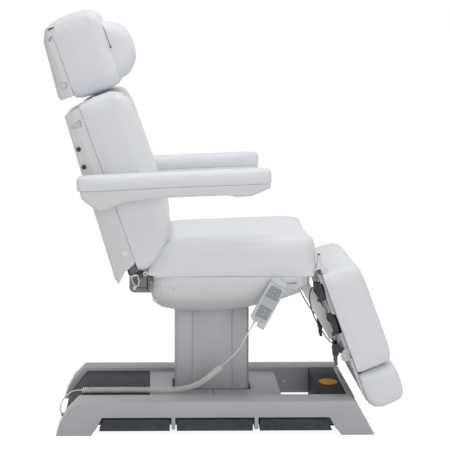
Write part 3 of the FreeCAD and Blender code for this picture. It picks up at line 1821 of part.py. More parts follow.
def head_shell():
    """The hard shell behind the head rest."""
    body = new_body("head_shell")
    base = Size(head_base(), "(Sizes.cushion_top + Sizes.head_gap)") + S.head_shell_lift
    front, depth, height = S.head_shell_front, S.head_shell_depth, S.head_shell_height
    outline = [
        (front - (0 if a < 0 else a) * depth, base + b * height) for a, b in HEAD_SHELL_SHARES
    ]
    pad(body, polygon(body, "head_shell_outline", outline), TWICE * S.head_shell_half, "Symmetric")
    dress(
        body,
        "Fillet",
        0.3 * depth,
        lambda c, d: abs(c.y) > float(S.head_shell_half) - NEAR
        and c.x < -0.3 * float(depth)
        and 0.05 * float(height) < c.z - float(base) < 0.95 * float(height),
    )
    wall = S.head_shell_wall
    hollow = [
        (front + S.overrun, base + height - TWICE * wall),
        (front - 0.25 * depth + wall, base + 0.99 * height - TWICE * wall),
        (front - 0.54 * depth + wall, base + 0.83 * height),
        (front - 0.8 * depth + wall, base + 0.05 * height + wall),
        (front - 0.68 * depth + wall, base + wall),
        (front + S.overrun, base + wall),
    ]
    inside = polygon(body, "head_shell_hollow", hollow)
    pocket(body, inside, TWICE * (S.head_shell_half - wall), "Symmetric")
    on_back(body)
    return body


def head_bars():
    """The two flat bars that slide in the back."""
    base = head_base()
    top = float(S.cushion_top)
    return feature(
        "head_bars",
        Part.makeCompound(bar_boxes(0, top - float(S.bar_below), base + float(S.bar_above))),
        back_placement(),
    )


# Arm rests

def arm_pad():
    """The padded top of the right arm rest."""
    y0, y1 = -float(S.arm_inner_y) - float(S.arm_width), -float(S.arm_inner_y)
    corner = float(S.arm_pad_corner)
    base, thick = float(S.arm_pad_base), float(S.arm_pad_thick)
    rear, front = -float(S.arm_rear), float(S.arm_front)

    def place(u, v, w):
        return Vector(u, v, w)

    levels = []
    for up, inset in ((0.0, 0.09), (0.12, 0.0), (0.75, 0.0), (0.93, 0.12), (1.0, 0.3)):
        inset *= corner
        low, high = (rear + inset, y0 + inset), (front - inset, y1 - inset)
        levels.append((base + up * thick, low, high, corner))
    shape = soft_form(levels, place, 0)
    return feature("arm_pad_right", shape, leaning(-S.arm_x, S.arm_z, -S.arm_tilt))


# The arm shell's lower outline: share of the pad's length from the rear, and of the drop
ARM_SHELL_SHARES = [
    (1.0, 0.0),
    (1.0, 0.4),
    (0.965, 0.72),
    (0.9, 1.16),
    (0.82, 1.2),
    (0.77, 0.98),
    (0.46, 0.96),
    (0.25, 1.2),
    (0.195, 1.5),
    (0.145, 1.92),
    (0.105, 2.0),
    (0.06, 1.44),
    (0.016, 0.73),
    (0.008, 0.0),
]


def arm_shell():
    """The hard shell under the right arm pad, with the lobe that turns on the back's shaft."""
    body = new_body("arm_shell_right")
    length = S.arm_rear + S.arm_front - TWICE * S.arm_shell_inset
    start = -S.arm_rear + S.arm_shell_inset
    top = S.arm_pad_base - S.seat_gap
    outline = [(start + a * length, top - b * S.arm_shell_drop) for a, b in ARM_SHELL_SHARES]
    inset = S.arm_shell_inset
    width = S.arm_width - inset
    pad(body, polygon(body, "arm_shell_outline", outline, offset=S.arm_inner_y), width)
    outer = -float(S.arm_inner_y) - float(width)
    dress(
        body,
        "Chamfer",
        S.arm_shell_edge,
        lambda c, d: not along(d, 1) and c.y < outer + NEAR and c.z < float(top) - TWICE * NEAR,
    )
    bore = circle(
        body,
        "arm_bore",
        (0, 0),
        S.arm_shaft_radius + S.running_gap,
        offset=S.arm_inner_y,
    )
    pocket(body, bore, 0.6 * S.arm_width + S.weld, back=True)
    set_place(body, -S.arm_x, S.arm_z, -S.arm_tilt)
    return body


# Leg rests, modelled upright along their own +Z from the knee hinge and then leant

def leg_placement():
    return leaning(S.leg_x, S.leg_z, -S.leg_lean)


# The leg cushion from its board forward: share of the thickness, of the top, the lower edge,
# the share of the half width and the corner
LEG_CUSHION_SHARES = [
    (0.0, 0.985, 0.012, 0.955, 16),
    (0.12, 1.0, 0.0, 0.995, 22),
    (0.5, 0.985, 0.0, 1.0, 26),
    (0.8, 0.97, 0.0, 0.99, 30),
    (0.93, 0.93, 0.02, 0.95, 34),
    (1.0, 0.84, 0.1, 0.86, 38),
]
FOOT_CUSHION_SHARES = [
    (0.0, 1.0, 0.1, 0.955, 16),
    (0.12, 1.0, 0.02, 0.995, 22),
    (0.5, 1.0, 0.0, 1.0, 26),
    (0.8, 1.0, 0.02, 0.99, 30),
    (0.93, 0.96, 0.08, 0.95, 34),
    (1.0, 0.86, 0.24, 0.86, 34),
]


def leg_pad(label, shares, top, bottom):
    """A right leg cushion between two heights."""
    half = HALF * (float(S.leg_outer_y) - float(S.leg_inner_y))
    middle = -HALF * (float(S.leg_outer_y) + float(S.leg_inner_y))

    def place(u, v, w):
        return Vector(w, middle + u, v)

    levels = []
    for out, high_share, low_share, half_share, corner in shares:
        low = (-half_share * half, bottom + low_share * (top - bottom))
        high = (half_share * half, bottom + high_share * (top - bottom))
        level = float(S.leg_base_n) + out * float(S.leg_thick)
        levels.append((level, low, high, corner))
    return feature(label, soft_form(levels, place), leg_placement())


def leg_cushion():
    return leg_pad(
        "leg_cushion_right", LEG_CUSHION_SHARES, -float(S.leg_top_gap), -float(S.leg_length)
    )


def foot_cushion():
    top = -float(S.leg_length) - float(S.foot_gap)
    return leg_pad("foot_cushion_right", FOOT_CUSHION_SHARES, top, top - float(S.foot_length))


def leg_frame():
    """The right leg's tray with its hinge ears and pin, the knee lug and the foot's rail slots."""
    body = new_body("leg_frame_right")
    face = S.leg_base_n - S.seat_gap
    back = face - S.tray_thick
    plate = rectangle(
        body,
        "tray_outline",
        (back, -S.tray_bottom),
        (face, -S.tray_top),
        offset=S.tray_inner_y,
    )
    pad(body, plate, S.tray_outer_y - S.tray_inner_y)
    r = S.leg_ear_radius
    ear = [
        (back, -S.tray_top - S.leg_ear_root),
        (-r, 0),
        (-0.7 * r, 0.7 * r),
        (0, r),
        (0.7 * r, 0.7 * r),
        (0.9 * r, 0),
        (face, -S.tray_top),
        (face, -S.tray_top - S.leg_ear_root),
    ]
    for i, start in enumerate((S.leg_ear_inner_y, S.leg_ear_outer_y - S.leg_ear_thick)):
        pad(body, polygon(body, f"leg_ear_{i}", ear, offset=start), S.leg_ear_thick)
    pin = circle(body, "leg_pin", (0, 0), S.leg_pin_radius, offset=S.leg_ear_inner_y)
    pad(body, pin, S.leg_ear_outer_y - S.leg_ear_inner_y)
    k = S.knee_radius
    lug = [
        (back + S.weld, -S.knee_drop + 1.9 * k),
        (-S.knee_n - 0.8 * k, -S.knee_drop + 0.6 * k),
        (-S.knee_n - k, -S.knee_drop),
        (-S.knee_n - 0.7 * k, -S.knee_drop - 0.7 * k),
        (-S.knee_n, -S.knee_drop - k),
        (back + S.weld, -S.knee_drop - 0.9 * k),
    ]
    gap = HALF * S.strut_fork_gap - S.seat_gap
    pad(body, polygon(body, "knee_lug", lug, offset=S.strut_y - gap), TWICE * gap)
    reach = HALF * S.strut_fork_gap + S.strut_fork_thick
    knee = circle(
        body, "knee_pin", (-S.knee_n, -S.knee_drop), S.knee_pin_radius, offset=S.strut_y - reach
    )
    pad(body, knee, TWICE * reach)
    for i, y in enumerate(foot_rail_places()):
        slot = rectangle(
            body,
            f"rail_slot_{i}",
            (back - S.overrun, -S.tray_bottom - S.overrun),
            (back + S.foot_rail_thick + S.seat_gap, -HALF * S.tray_bottom),
            offset=y - S.seat_gap,
        )
        pocket(body, slot, S.foot_rail_width + TWICE * S.seat_gap, back=True)
    set_place(body, S.leg_x, S.leg_z, -S.leg_lean)
    return body


def foot_rail_places():
    """Where the right foot rest's two rails start across."""
    inset = S.foot_rail_y
    return (S.tray_inner_y + inset, S.tray_outer_y - inset - S.foot_rail_width)


def foot_panel():
    """The right foot rest's back panel with its two rails, which slide in the leg's tray."""
    body = new_body("foot_panel_right")
    face = S.leg_base_n - S.seat_gap
    back = face - S.tray_thick
    thick = S.foot_panel_thick
    start = S.tray_bottom + S.foot_gap
    panel = [
        (face - thick, -start),
        (face, -start),
        (face, -S.foot_panel_bottom - 0.3 * S.foot_length),
        (face - thick * HALF, -S.foot_panel_bottom - 0.3 * S.foot_length),
        (face - thick, -S.foot_panel_bottom),
    ]
    over = S.foot_panel_overhang
    outline = polygon(body, "panel_outline", panel, offset=S.tray_inner_y - over)
    pad(body, outline, S.tray_outer_y - S.tray_inner_y + TWICE * over)
    for i, y in enumerate(foot_rail_places()):
        rail = rectangle(
            body,
            f"foot_rail_{i}",
            (back, -start - TWICE * S.foot_rail_width),
            (back + S.foot_rail_thick, -HALF * S.tray_bottom - S.foot_gap),
            offset=y,
        )
        pad(body, rail, S.foot_rail_width)
    set_place(body, S.leg_x, S.leg_z, -S.leg_lean)
    return body


def knee_place():
    """The knee pin at rest, in world x and z."""
    sin, cos = sine(S.leg_lean), cosine(S.leg_lean)
    n, up = -float(S.knee_n), -float(S.knee_drop)
    return float(S.leg_x) + n * cos - up * sin, float(S.leg_z) + n * sin + up * cos


def strut_line():
    """The strut's length between its pins and its placement along +X."""
    x, z = knee_place()
    run, rise = x - float(S.strut_x), z - float(S.strut_z)
    turn = FreeCAD.Rotation(Vector(0, 1, 0), -math.degrees(math.atan2(rise, run)))
    place = Vector(float(S.strut_x), -float(S.strut_y), float(S.strut_z))
    return math.hypot(run, rise), FreeCAD.Placement(place, turn)


def strut_tube():
    """The square tube of the right leg's strut, hinged under the seat frame."""
    _, placement = strut_line()
    half, deep = HALF * float(S.strut_width), HALF * float(S.strut_depth)
    end = float(S.strut_tube_length)
    outline = [
        (0, -half), (end, -half), (end, half), (0, half),
        (-0.7 * half, 0.7 * half), (-half, 0), (-0.7 * half, -0.7 * half),
    ]
    tube = prism(outline, -deep, TWICE * deep)
    bore = rod_along_x(S.strut_rod_radius + S.running_gap, S.strut_bore_start, end + deep)
    eye = rod_along_y(S.strut_pin_radius + S.running_gap, -TWICE * deep, TWICE * deep)
    return feature("strut_tube_right", tube.cut([bore, eye]).removeSplitter(), placement)


def strut_rod():
    """The strut's rod with its fork, whose hooked cheeks hold the knee pin with room to move."""
    length, placement = strut_line()
    fork, thick = HALF * float(S.strut_fork_gap), float(S.strut_fork_thick)
    radius, slot = float(S.strut_fork_radius), float(S.strut_eye_bore)
    deep, wall = float(S.strut_fork_root), float(S.strut_hook_wall)
    root = float(S.strut_tube_length) + TWICE * float(S.weld)
    lip, top, low = 0.03 * radius, 0.47 * radius, -0.6 * radius
    end = length + slot + wall
    rod = rod_along_x(S.strut_rod_radius, S.strut_rod_start, root + HALF * deep)
    parts = [flat_box((root, -fork - thick, low), (root + deep, fork + thick, top))]
    hook = [
        (root, low),
        (length - radius, -radius),
        (length + HALF * radius, -radius),
        (end, low),
        (end, lip),
        (length + slot, lip),
        (length + slot, -0.72 * radius),
        (length - slot, -0.72 * radius),
        (length - slot, lip),
        (length - slot - deep, lip),
        (root, top),
    ]
    parts += [prism(hook, start, thick) for start in (fork, -fork - thick)]
    return feature("strut_rod_right", rod.fuse(parts).removeSplitter(), placement)


# Leg release gear

# Flats round a thin rod
ROD_SIDES = 6


def gear_span():
    """The outer and the inner side of the right leg's release gear."""
    return -float(S.gear_y) - float(S.gear_width), -float(S.gear_y)


def release_gear():
    """The right leg's two black adjuster blocks, their steel rods and the lever's bracket."""
    back = float(S.leg_base_n) - float(S.seat_gap) - float(S.tray_thick)
    y0, y1 = gear_span()
    half, deep = HALF * float(S.block_length), float(S.block_depth)
    upper, lower = -float(S.upper_block_drop), -float(S.lower_block_drop)
    solids = []
    for middle in (upper, lower):
        points = [
            (back - 0.8 * deep, middle + half),
            (back, middle + half),
            (back, middle - half),
            (back - 0.75 * deep, middle - half),
            (back - 0.75 * deep, middle + 0.3 * half),
            (back - deep, middle + HALF * half),
        ]
        solids.append(prism(points, y0, y1 - y0))
    hold, head_top = float(S.gear_rod_hold), lever_head_top()
    spans = [
        (upper + half + float(S.gear_rod_above), upper + half - hold),
        (upper - half + hold, lower + half - hold),
        (lower - half + hold, head_top - hold),
    ]
    solids += [gear_rod(back - 0.45 * deep, HALF * (y0 + y1), low, high) for high, low in spans]
    head_n = -float(S.lever_n)
    face = head_n - HALF * float(S.lever_head_depth)
    cheek = HALF * (float(S.gear_width) - float(S.lever_width)) - float(S.seat_gap)
    low = head_top - float(S.lever_head_length)
    for start in (y0, y1 - cheek):
        solids.append(flat_box((face, start, low), (back, start + cheek, head_top)))
    bridge = flat_box((face, y0, head_top - float(S.lever_bridge)), (back, y1, head_top))
    pin = rod_along_y(S.lever_pin_radius, y0, y1, head_n, lever_axis())
    shape = solids[0].fuse(solids[1:] + [bridge, pin]).removeSplitter()
    return feature("release_gear_right", shape, leg_placement())


def gear_rod(n, y, low, high):
    """A thin six-sided rod down the leg's back."""
    ring = []
    for i in range(ROD_SIDES):
        angle = TWICE * math.pi * i / ROD_SIDES
        reach = float(S.gear_rod_radius)
        ring.append(Vector(n + reach * math.cos(angle), y + reach * math.sin(angle), low))
    return Part.Face(Part.makePolygon(ring + ring[:1])).extrude(Vector(0, 0, high - low))


def lever_head_top():
    """Height of the upper end of the lever's bracket, along the leg."""
    return -float(S.lever_drop) + HALF * float(S.lever_head_length)


def lever_axis():
    """Height of the lever's pin, along the leg."""
    return lever_head_top() - float(S.lever_axis_drop)


def release_lever():
    """The right leg's release lever, which hangs from its head."""
    middle_y, thick = HALF * sum(gear_span()), float(S.lever_width)
    x, axis, length = -float(S.lever_n), lever_axis(), float(S.lever_length)
    half, crown, tip = float(S.lever_half), float(S.lever_crown), float(S.lever_tip)
    points = [
        (x - half, axis + crown),
        (x + half, axis + crown),
        (x + crown, axis - 0.4 * length),
        (x - 0.7 * half, axis - 0.75 * length),
        (x - half - NEAR, axis - length),
        (x - half - tip - NEAR, axis - 0.95 * length),
        (x - half - tip, axis - 0.65 * length),
        (x - half, axis - 0.3 * length),
    ]
    handle = prism(points, middle_y - HALF * thick, thick)
    radius = S.lever_pin_radius + S.running_gap
    bore = rod_along_y(radius, middle_y - thick, middle_y + thick, x, axis)
    return feature("release_lever_right", handle.cut(bore), leg_placement())


# Handset and its cord

def handset_place(y):
    """The handset's upper middle, leant with the handset."""
    turn = FreeCAD.Rotation(Vector(0, 1, 0), float(S.handset_lean))
    return FreeCAD.Placement(Vector(float(S.handset_x), -float(y), float(S.handset_z)), turn)


def handset_case():
    """The hand control's case: a slim rounded bar with a stepped lower end."""
    length, half = float(S.handset_length), HALF * float(S.handset_width)
    thick, notch, r = float(S.handset_thick), float(S.handset_notch), float(S.handset_corner)
    step = 0.16 * half
    points = [
        (-half + r, 0), (half - r, 0), (half, -r), (half, -length), (step, -length),
        (step, -length + notch), (-0.7 * half, -length + notch), (-half, -length + 1.6 * notch),
        (-half, -r),
    ]
    solid = prism(points, 0, -thick)
    rim = [e for e in solid.Edges if abs(e.CenterOfMass.y + thick) < S.running_gap.number]
    solid = solid.makeChamfer(float(S.handset_edge), rim)
    return feature("handset_case", solid, handset_place(S.handset_y))


# Rows of keys in each of the two blocks
KEY_ROWS = 3


def handset_keypad():
    """The keypad: a thin mat with two blocks of raised keys."""
    thick, mat, rise = float(S.handset_thick), float(S.keypad_thick), float(S.key_rise)
    half_length, half_width = HALF * float(S.key_length), HALF * float(S.key_width)
    half = HALF * float(S.handset_width) - float(S.keypad_margin)
    top = -float(S.key_upper) + float(S.keypad_above)
    rows = KEY_ROWS - 1
    low = -float(S.key_lower) - rows * float(S.key_pitch) - float(S.keypad_below)
    face = -thick - mat
    base = flat_box((-half, face, low), (half, -thick, top))
    keys = []
    for start in (float(S.key_upper), float(S.key_lower)):
        for i in range(KEY_ROWS):
            for side in (-1, 1):
                x = side * (half_length + HALF * float(S.key_gap))
                z = -start - i * float(S.key_pitch)
                keys.append(
                    flat_box(
                        (x - half_length, face - rise, z - half_width),
                        (x + half_length, face + HALF * mat, z + half_width),
                    )
                )
    return feature("handset_keypad", base.fuse(keys).removeSplitter(), handset_place(S.handset_y))


def handset_hook():
    """The metal hanger that holds the handset on the pan."""
    y0, y1 = -float(S.handset_y) + float(S.seat_gap), -float(S.pan_half) + float(S.hook_sink)
    x, z, half, high = (float(v) for v in (S.hook_x, S.hook_z, S.hook_half, S.hook_half_height))
    thick = float(S.hook_thick)
    plate = flat_box((x - float(S.hook_length), y0, z - high), (x + half, y0 + thick, z + high))
    foot = flat_box((x - half, y0, z - high), (x + half, y1, z + high))
    return feature("handset_hook", plate.fuse(foot).removeSplitter())


def cord_exit():
    """Where the cord leaves the handset, and the way it points."""
    place = handset_place(S.handset_y)
    length, half = float(S.handset_length), HALF * float(S.handset_width)
    start = Vector(-0.36 * half, -HALF * float(S.handset_thick), -length + float(S.handset_notch))
    return place.multVec(start), place.Rotation.multVec(Vector(0, 0, -1))


# Flats round the strain relief
BOOT_SIDES = 12


def cord_boot():
    """The tapered strain relief at the handset's lower end."""
    start, way = cord_exit()
    side = Vector(0, 1, 0)
    across = way.cross(side)
    rings = []
    tip_radius = HALF * float(S.cord_diameter) + float(S.boot_wall)
    for share, radius in ((0, float(S.boot_radius)), (1, tip_radius)):
        middle = start + way * (share * float(S.boot_length))
        ring = []
        for i in range(BOOT_SIDES):
            angle = TWICE * math.pi * i / BOOT_SIDES
            turned = side * math.cos(angle) + across * math.sin(angle)
            ring.append(middle + turned * radius)
        rings.append(ring)
    return feature("cord_boot", solid_through(rings))


# Turns over which the curls open and close at the coil's ends
CURL_OPENING_TURNS = 1.5
# The cord is swept with three flats, whose corners stand out a little to keep its thickness
CORD_SIDES = 3
CORD_CORNER_SHARE = 1.2
# The cord's route, by hand: the lead from the handset down to the coil, the coil's own line and
# the tail down to the socket
LEAD_ROUTE = [
    (52.0, -262.0, 270.5),
    (30.0, -231.0, 238.0),
    (11.0, -207.0, 214.5),
]
COIL_ROUTE = [
    (-6.0, -181.0, 193.0),
    (-30.0, -166.0, 168.0),
    (-62.0, -152.0, 138.0),
    (-108.0, -142.0, 115.0),
    (-168.0, -136.0, 107.6),
    (-240.0, -133.0, 107.6),
    (-320.0, -132.0, 107.6),
    (-395.0, -133.0, 107.6),
    (-455.0, -135.0, 108.0),
]
TAIL_ROUTE = [
    (-499.0, -139.5, 96.0),
    (-517.0, -143.5, 75.0),
    (-524.5, -147.5, 50.0),
]


def rounded_path(points):
    """Straight runs joined by tangent arcs, as one wire; it prints the radii."""
    edges, radii = [], []
    spots = [Vector(*p) for p in points]
    last = spots[0]
    for i in range(1, len(spots) - 1):
        before, here, after = spots[i - 1], spots[i], spots[i + 1]
        into, out = (here - before), (after - here)
        run = 0.45 * min(into.Length, out.Length)
        into.normalize()
        out.normalize()
        turn = into.getAngle(out)
        start, end = here - into * run, here + out * run
        radius = run / math.tan(HALF * turn)
        radii.append(round(radius, 1))
        middle = here + (out - into).normalize() * (radius / math.cos(HALF * turn) - radius)
        edges.append(Part.LineSegment(last, start).toShape())
        edges.append(Part.Arc(start, middle, end).toShape())
        last = end
    edges.append(Part.LineSegment(last, spots[-1]).toShape())
    print("cord radii", radii)
    return Part.Wire(edges)


def biarc(start, start_way, end, end_way):
    """Two arcs that join two points and keep the way at each."""
    chord, ways = end - start, start_way + end_way
    spread = TWICE - TWICE * start_way.dot(end_way)
    lean = chord.dot(ways)
    if spread < 1e-9:
        reach = chord.dot(chord) / (TWICE * lean)
    else:
        reach = (math.sqrt(lean * lean + spread * chord.dot(chord)) - lean) / spread
    first, last = start + start_way * reach, end - end_way * reach
    middle = (first + last) * HALF
    return [arc_by_corner(start, first, middle, reach), arc_by_corner(middle, last, end, reach)]


def arc_by_corner(start, corner, end, reach):
    """The arc from start to end whose tangents meet at the corner, reach from both."""
    centre_way = (start + end) * HALF - corner
    height, half_chord = centre_way.Length, (end - start).Length * HALF
    if height < 1e-6:
        return Part.LineSegment(start, end).toShape()
    radius = half_chord * reach / height
    middle = corner + centre_way * ((math.hypot(radius, reach) - radius) / height)
    return Part.Arc(start, middle, end).toShape()


class Line:
    """A rounded path read by distance along it."""

    def __init__(self, points):
        self.wire = rounded_path(points)
        self.edges = self.wire.OrderedEdges
        self.length = self.wire.Length

    def at(self, distance):
        """The place and the way at a distance from the start."""
        distance = min(max(distance, 0.0), self.length)
        for edge in self.edges:
            if distance <= edge.Length or edge is self.edges[-1]:
                spot = edge.getParameterByLength(min(distance, edge.Length))
                return edge.valueAt(spot), edge.tangentAt(spot)
            distance -= edge.Length


def curl_point(line, distance):
    """A point of the curly length: a helix round the line that opens and closes at its ends."""
    centre, way = line.at(distance)
    side = way.cross(Vector(0, 0, 1)).normalize()
    up = side.cross(way)
    pitch = line.length / float(S.coil_turns)
    from_end = min(distance, line.length - distance) / (CURL_OPENING_TURNS * pitch)
    opening = HALF - HALF * math.cos(math.pi * min(from_end, 1.0))
    radius = HALF * (float(S.coil_diameter) - float(S.cord_diameter)) * opening
    angle = TWICE * math.pi * distance / pitch
    return centre + side * (radius * math.cos(angle)) + up * (radius * math.sin(angle))


def curl_edges(line):
    """The curly length as arcs, two for each half turn."""
    halves = int(float(S.coil_turns)) * TWICE
    step = line.length / halves
    tiny = step / 500

    def way_at(distance):
        low, high = max(distance - tiny, 0.0), min(distance + tiny, line.length)
        return (curl_point(line, high) - curl_point(line, low)).normalize()

    edges = []
    for i in range(halves):
        low, high = i * step, (i + 1) * step
        start_way = line.at(0)[1] if i == 0 else way_at(low)
        end_way = line.at(line.length)[1] if i == halves - 1 else way_at(high)
        edges += biarc(curl_point(line, low), start_way, curl_point(line, high), end_way)
    return edges


def least_gap(edges, thick):
    """The least gap between the tube and itself, measured on points along it."""
    spots = []
    for edge in edges:
        first, last = edge.FirstParameter, edge.LastParameter
        spots += [edge.valueAt(first + (last - first) * i / 6) for i in range(6)]
    apart = 18
    least = min(
        spots[i].distanceToPoint(spots[j])
        for i in range(len(spots))
        for j in range(i + apart, min(i + 3 * apart, len(spots)))
    )
    return round(least - thick, 2)


def socket_mouth():
    """Where the cord enters its socket in the rear cover's sloping end."""
    slope = (float(S.cover_toe_x) - float(S.cover_rear_x)) / (float(S.deck_top) - float(S.cover_toe_z))
    face = float(S.cover_toe_x) - slope * (float(S.socket_z) - float(S.cover_toe_z))
    return (-face - float(S.socket_length), -float(S.socket_y), float(S.socket_z))


def handset_cord():
    """The handset's cord: a plain lead, the curly length and a plain tail to the socket."""
    start, way = cord_exit()
    tip = start + way * (float(S.boot_length) + float(S.seat_gap))
    onward = tip + way * (TWICE * float(S.boot_length))
    coil, reach = Line(COIL_ROUTE), float(S.coil_lead)
    lead_in = Vector(*COIL_ROUTE[0]) - coil.at(0)[1] * reach
    lead_out = Vector(*COIL_ROUTE[-1]) + coil.at(coil.length)[1] * reach
    lead = rounded_path([tip, onward, *LEAD_ROUTE, lead_in, COIL_ROUTE[0]])
    tail = rounded_path([COIL_ROUTE[-1], lead_out, *TAIL_ROUTE, socket_mouth()])
    curls = curl_edges(coil)
    path = Part.Wire(lead.OrderedEdges + curls + tail.OrderedEdges)
    corner = HALF * float(S.cord_diameter) * CORD_CORNER_SHARE
    side = way.cross(Vector(0, 1, 0)).normalize()
    other = way.cross(side)
    ring = []
    for i in range(CORD_SIDES):
        angle = TWICE * math.pi * i / CORD_SIDES
        ring.append(tip + (side * math.cos(angle) + other * math.sin(angle)) * corner)
    section = Part.makePolygon(ring + ring[:1])
    shape = path.makePipeShell([section], True, False)
    expected = Part.Face(section).Area * path.Length
    print("cord volume over section times length:", round(shape.Volume / expected, 4))
    print("cord length", round(path.Length), "least gap", least_gap(curls, TWICE * corner))
    return feature("handset_cord", shape)


# Assembly

def build():
    """Every piece, right-hand ones first and their left-hand twins mirrored from them."""
    pieces = []

    def keep(*things):
        pieces.extend(things)

    def keep_pair(right):
        left = mirror(right.Label.replace("_right", "_left"), right)
        keep(right, left)

    keep_pair(base_rail())
    names = ("rear", "middle", "front")
    for name, (start, end, slant) in zip(names, pedal_spans()):
        keep_pair(pedal(f"pedal_{name}_right", start, end, slant))
    keep(base_deck(), rear_cover(), front_box(), front_end_plate(), chassis(), rear_sockets())
    inner_top = S.sleeve_top - TWICE * S.stage_drop
    bed_top = S.sleeve_bottom - S.overrun
    keep(
        sleeve("inner_column", 2, bed_top, inner_top),
        sleeve("middle_sleeve", 1, S.sleeve_bottom, S.sleeve_top - S.stage_drop),
        outer_sleeve(),
    )
    keep(lift_motor(), lift_rod(), lift_head(), tilt_motor(), tilt_rod(), seat_pan())
    keep(seat_frame(), seat_cushion(), recline_motor(), recline_rod())
    keep(back_frame(), back_shell(), back_caps(), back_cushion())
    keep(head_cushion(), head_pillow(), head_shell(), head_bars())
    keep_pair(arm_pad())
    keep_pair(arm_shell())
    keep_pair(leg_cushion())
    keep_pair(foot_cushion())
    keep_pair(leg_frame())
    keep_pair(foot_panel())
    keep_pair(strut_tube())
    keep_pair(strut_rod())
    keep_pair(release_gear())
    keep_pair(release_lever())
    keep(handset_case(), handset_keypad(), handset_hook(), cord_boot())
    keep(handset_cord())
    return pieces


def check(pieces):
    """Stops where a feature failed or a piece has no valid solid."""
    doc.recompute()
    for thing in doc.Objects:
        if {"Invalid", "Error"} & set(thing.State):
            raise ValueError(f"{thing.Label} failed: {thing.State}")
    for piece in pieces:
        shape = piece.Shape
        if shape.isNull() or not shape.isValid() or not shape.Solids:
            raise ValueError(f"{piece.Label} has no valid solid")


def write(pieces):
    """One STEP file for each piece."""
    os.makedirs("parts", exist_ok=True)
    for piece in pieces:
        piece.Shape.exportStep(os.path.join("parts", f"{piece.Label}.step"))


chair = build()
check(chair)
write(chair)
print(len(chair), "pieces")
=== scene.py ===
"""The looks of a podiatry chair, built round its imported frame, laid out as a Blender add-on."""
import math

import bpy
from bpy.props import FloatProperty, FloatVectorProperty, IntProperty, PointerProperty
from mathutils import Matrix, Vector


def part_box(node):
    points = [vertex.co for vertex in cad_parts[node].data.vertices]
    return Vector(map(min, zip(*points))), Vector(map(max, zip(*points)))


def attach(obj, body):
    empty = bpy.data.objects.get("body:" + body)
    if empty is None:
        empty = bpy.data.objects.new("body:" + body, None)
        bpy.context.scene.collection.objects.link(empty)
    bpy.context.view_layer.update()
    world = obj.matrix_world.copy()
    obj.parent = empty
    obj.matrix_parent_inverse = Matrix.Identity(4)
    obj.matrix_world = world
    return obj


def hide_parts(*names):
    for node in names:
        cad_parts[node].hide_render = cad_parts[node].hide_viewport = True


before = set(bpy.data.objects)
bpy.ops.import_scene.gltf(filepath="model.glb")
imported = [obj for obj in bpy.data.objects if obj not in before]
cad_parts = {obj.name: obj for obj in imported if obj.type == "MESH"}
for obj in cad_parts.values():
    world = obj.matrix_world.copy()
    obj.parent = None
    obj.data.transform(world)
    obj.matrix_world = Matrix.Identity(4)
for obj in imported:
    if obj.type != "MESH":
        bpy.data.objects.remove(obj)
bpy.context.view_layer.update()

bl_info = {
    "name": "Podiatry Chair",
    "version": (1, 0, 0),
    "blender": (4, 5, 0),
    "location": "View3D > Sidebar > Chair",
    "description": "Builds the cushions, trims, cord, finishes and stage of a podiatry chair",
    "category": "Add Mesh",
}

SIDES = ("right", "left")
TURN = 2 * math.pi
LATHE_SIDES = 24


def linear(red, green, blue):
    """A screen colour, 0 to 255, as the linear one that Blender keeps."""
    levels = [value / 255 for value in (red, green, blue)]
    return tuple(v / 12.92 if v <= 0.04045 else ((v + 0.055) / 1.055) ** 2.4 for v in levels)


def colour_size(name, description, value):
    """A colour property shown as a swatch."""
    return FloatVectorProperty(
        name=name, description=description, subtype="COLOR", size=3, min=0, max=1, default=value
    )


def length_size(name, description, value):
    """A length property in metres."""
    return FloatProperty(
        name=name, description=description, unit="LENGTH", min=0, default=value, precision=4
    )


class ChairColours(bpy.types.PropertyGroup):
    """Colours of the chair's finishes."""

    upholstery: colour_size("Upholstery", "White vinyl of the cushions", linear(228, 230, 235))
    shell: colour_size("Shells", "White moulded plastic", linear(222, 223, 224))
    base: colour_size("Base", "Light grey paint of the base", linear(178, 180, 184))
    cover: colour_size("Covers", "Slate grey of the base's covers", linear(52, 55, 68))
    pedal: colour_size("Pedals", "Dark rubber of the foot pedals", linear(44, 48, 60))
    column: colour_size("Column", "Grey of the lift column", linear(184, 184, 190))
    black: colour_size("Black plastic", "Black of the leg gear", linear(17, 17, 20))
    steel: colour_size("Steel", "Bright zinc and steel", linear(182, 184, 188))
    frame_paint: colour_size("Frame", "Silver grey of the frames", linear(158, 158, 162))
    strut: colour_size("Struts", "Off white of the leg struts", linear(214, 212, 208))
    cord: colour_size("Cord", "Cream of the curly cord", linear(236, 237, 230))
    handset: colour_size("Handset", "Pale grey of the handset", linear(205, 209, 214))
    keys: colour_size("Keys", "Grey of the handset's keys", linear(84, 89, 99))
    lever: colour_size("Lever", "Grey of the release levers", linear(84, 82, 96))
    sticker: colour_size("Sticker", "Yellow of the bare oval sticker", linear(238, 168, 8))
    floor: colour_size("Floor", "Pale floor", linear(244, 244, 244))


class ChairSizes(bpy.types.PropertyGroup):
    """Sizes of what is added to the frame."""

    voxel: length_size("Cushion cell", "Cell that the cushions are remeshed at", 0.006)
    cord_thickness: length_size("Cord thickness", "Diameter of the handset's cord", 0.0042)
    coil_width: length_size("Coil width", "Outside diameter of the curly length", 0.02)
    curls: IntProperty(name="Curls", description="Turns in the curly length", default=78, min=8)


def settings():
    """The add-on's colours and sizes."""
    return bpy.context.scene.chair_colours, bpy.context.scene.chair_sizes


# Modelling helpers


def deselect():
    """Nothing selected, and object mode."""
    if bpy.context.mode != "OBJECT":
        bpy.ops.object.mode_set(mode="OBJECT")
    bpy.ops.object.select_all(action="DESELECT")


def activate(piece):
    """Makes one object the selected and active one."""
    deselect()
    piece.select_set(True)
    bpy.context.view_layer.objects.active = piece
    return piece


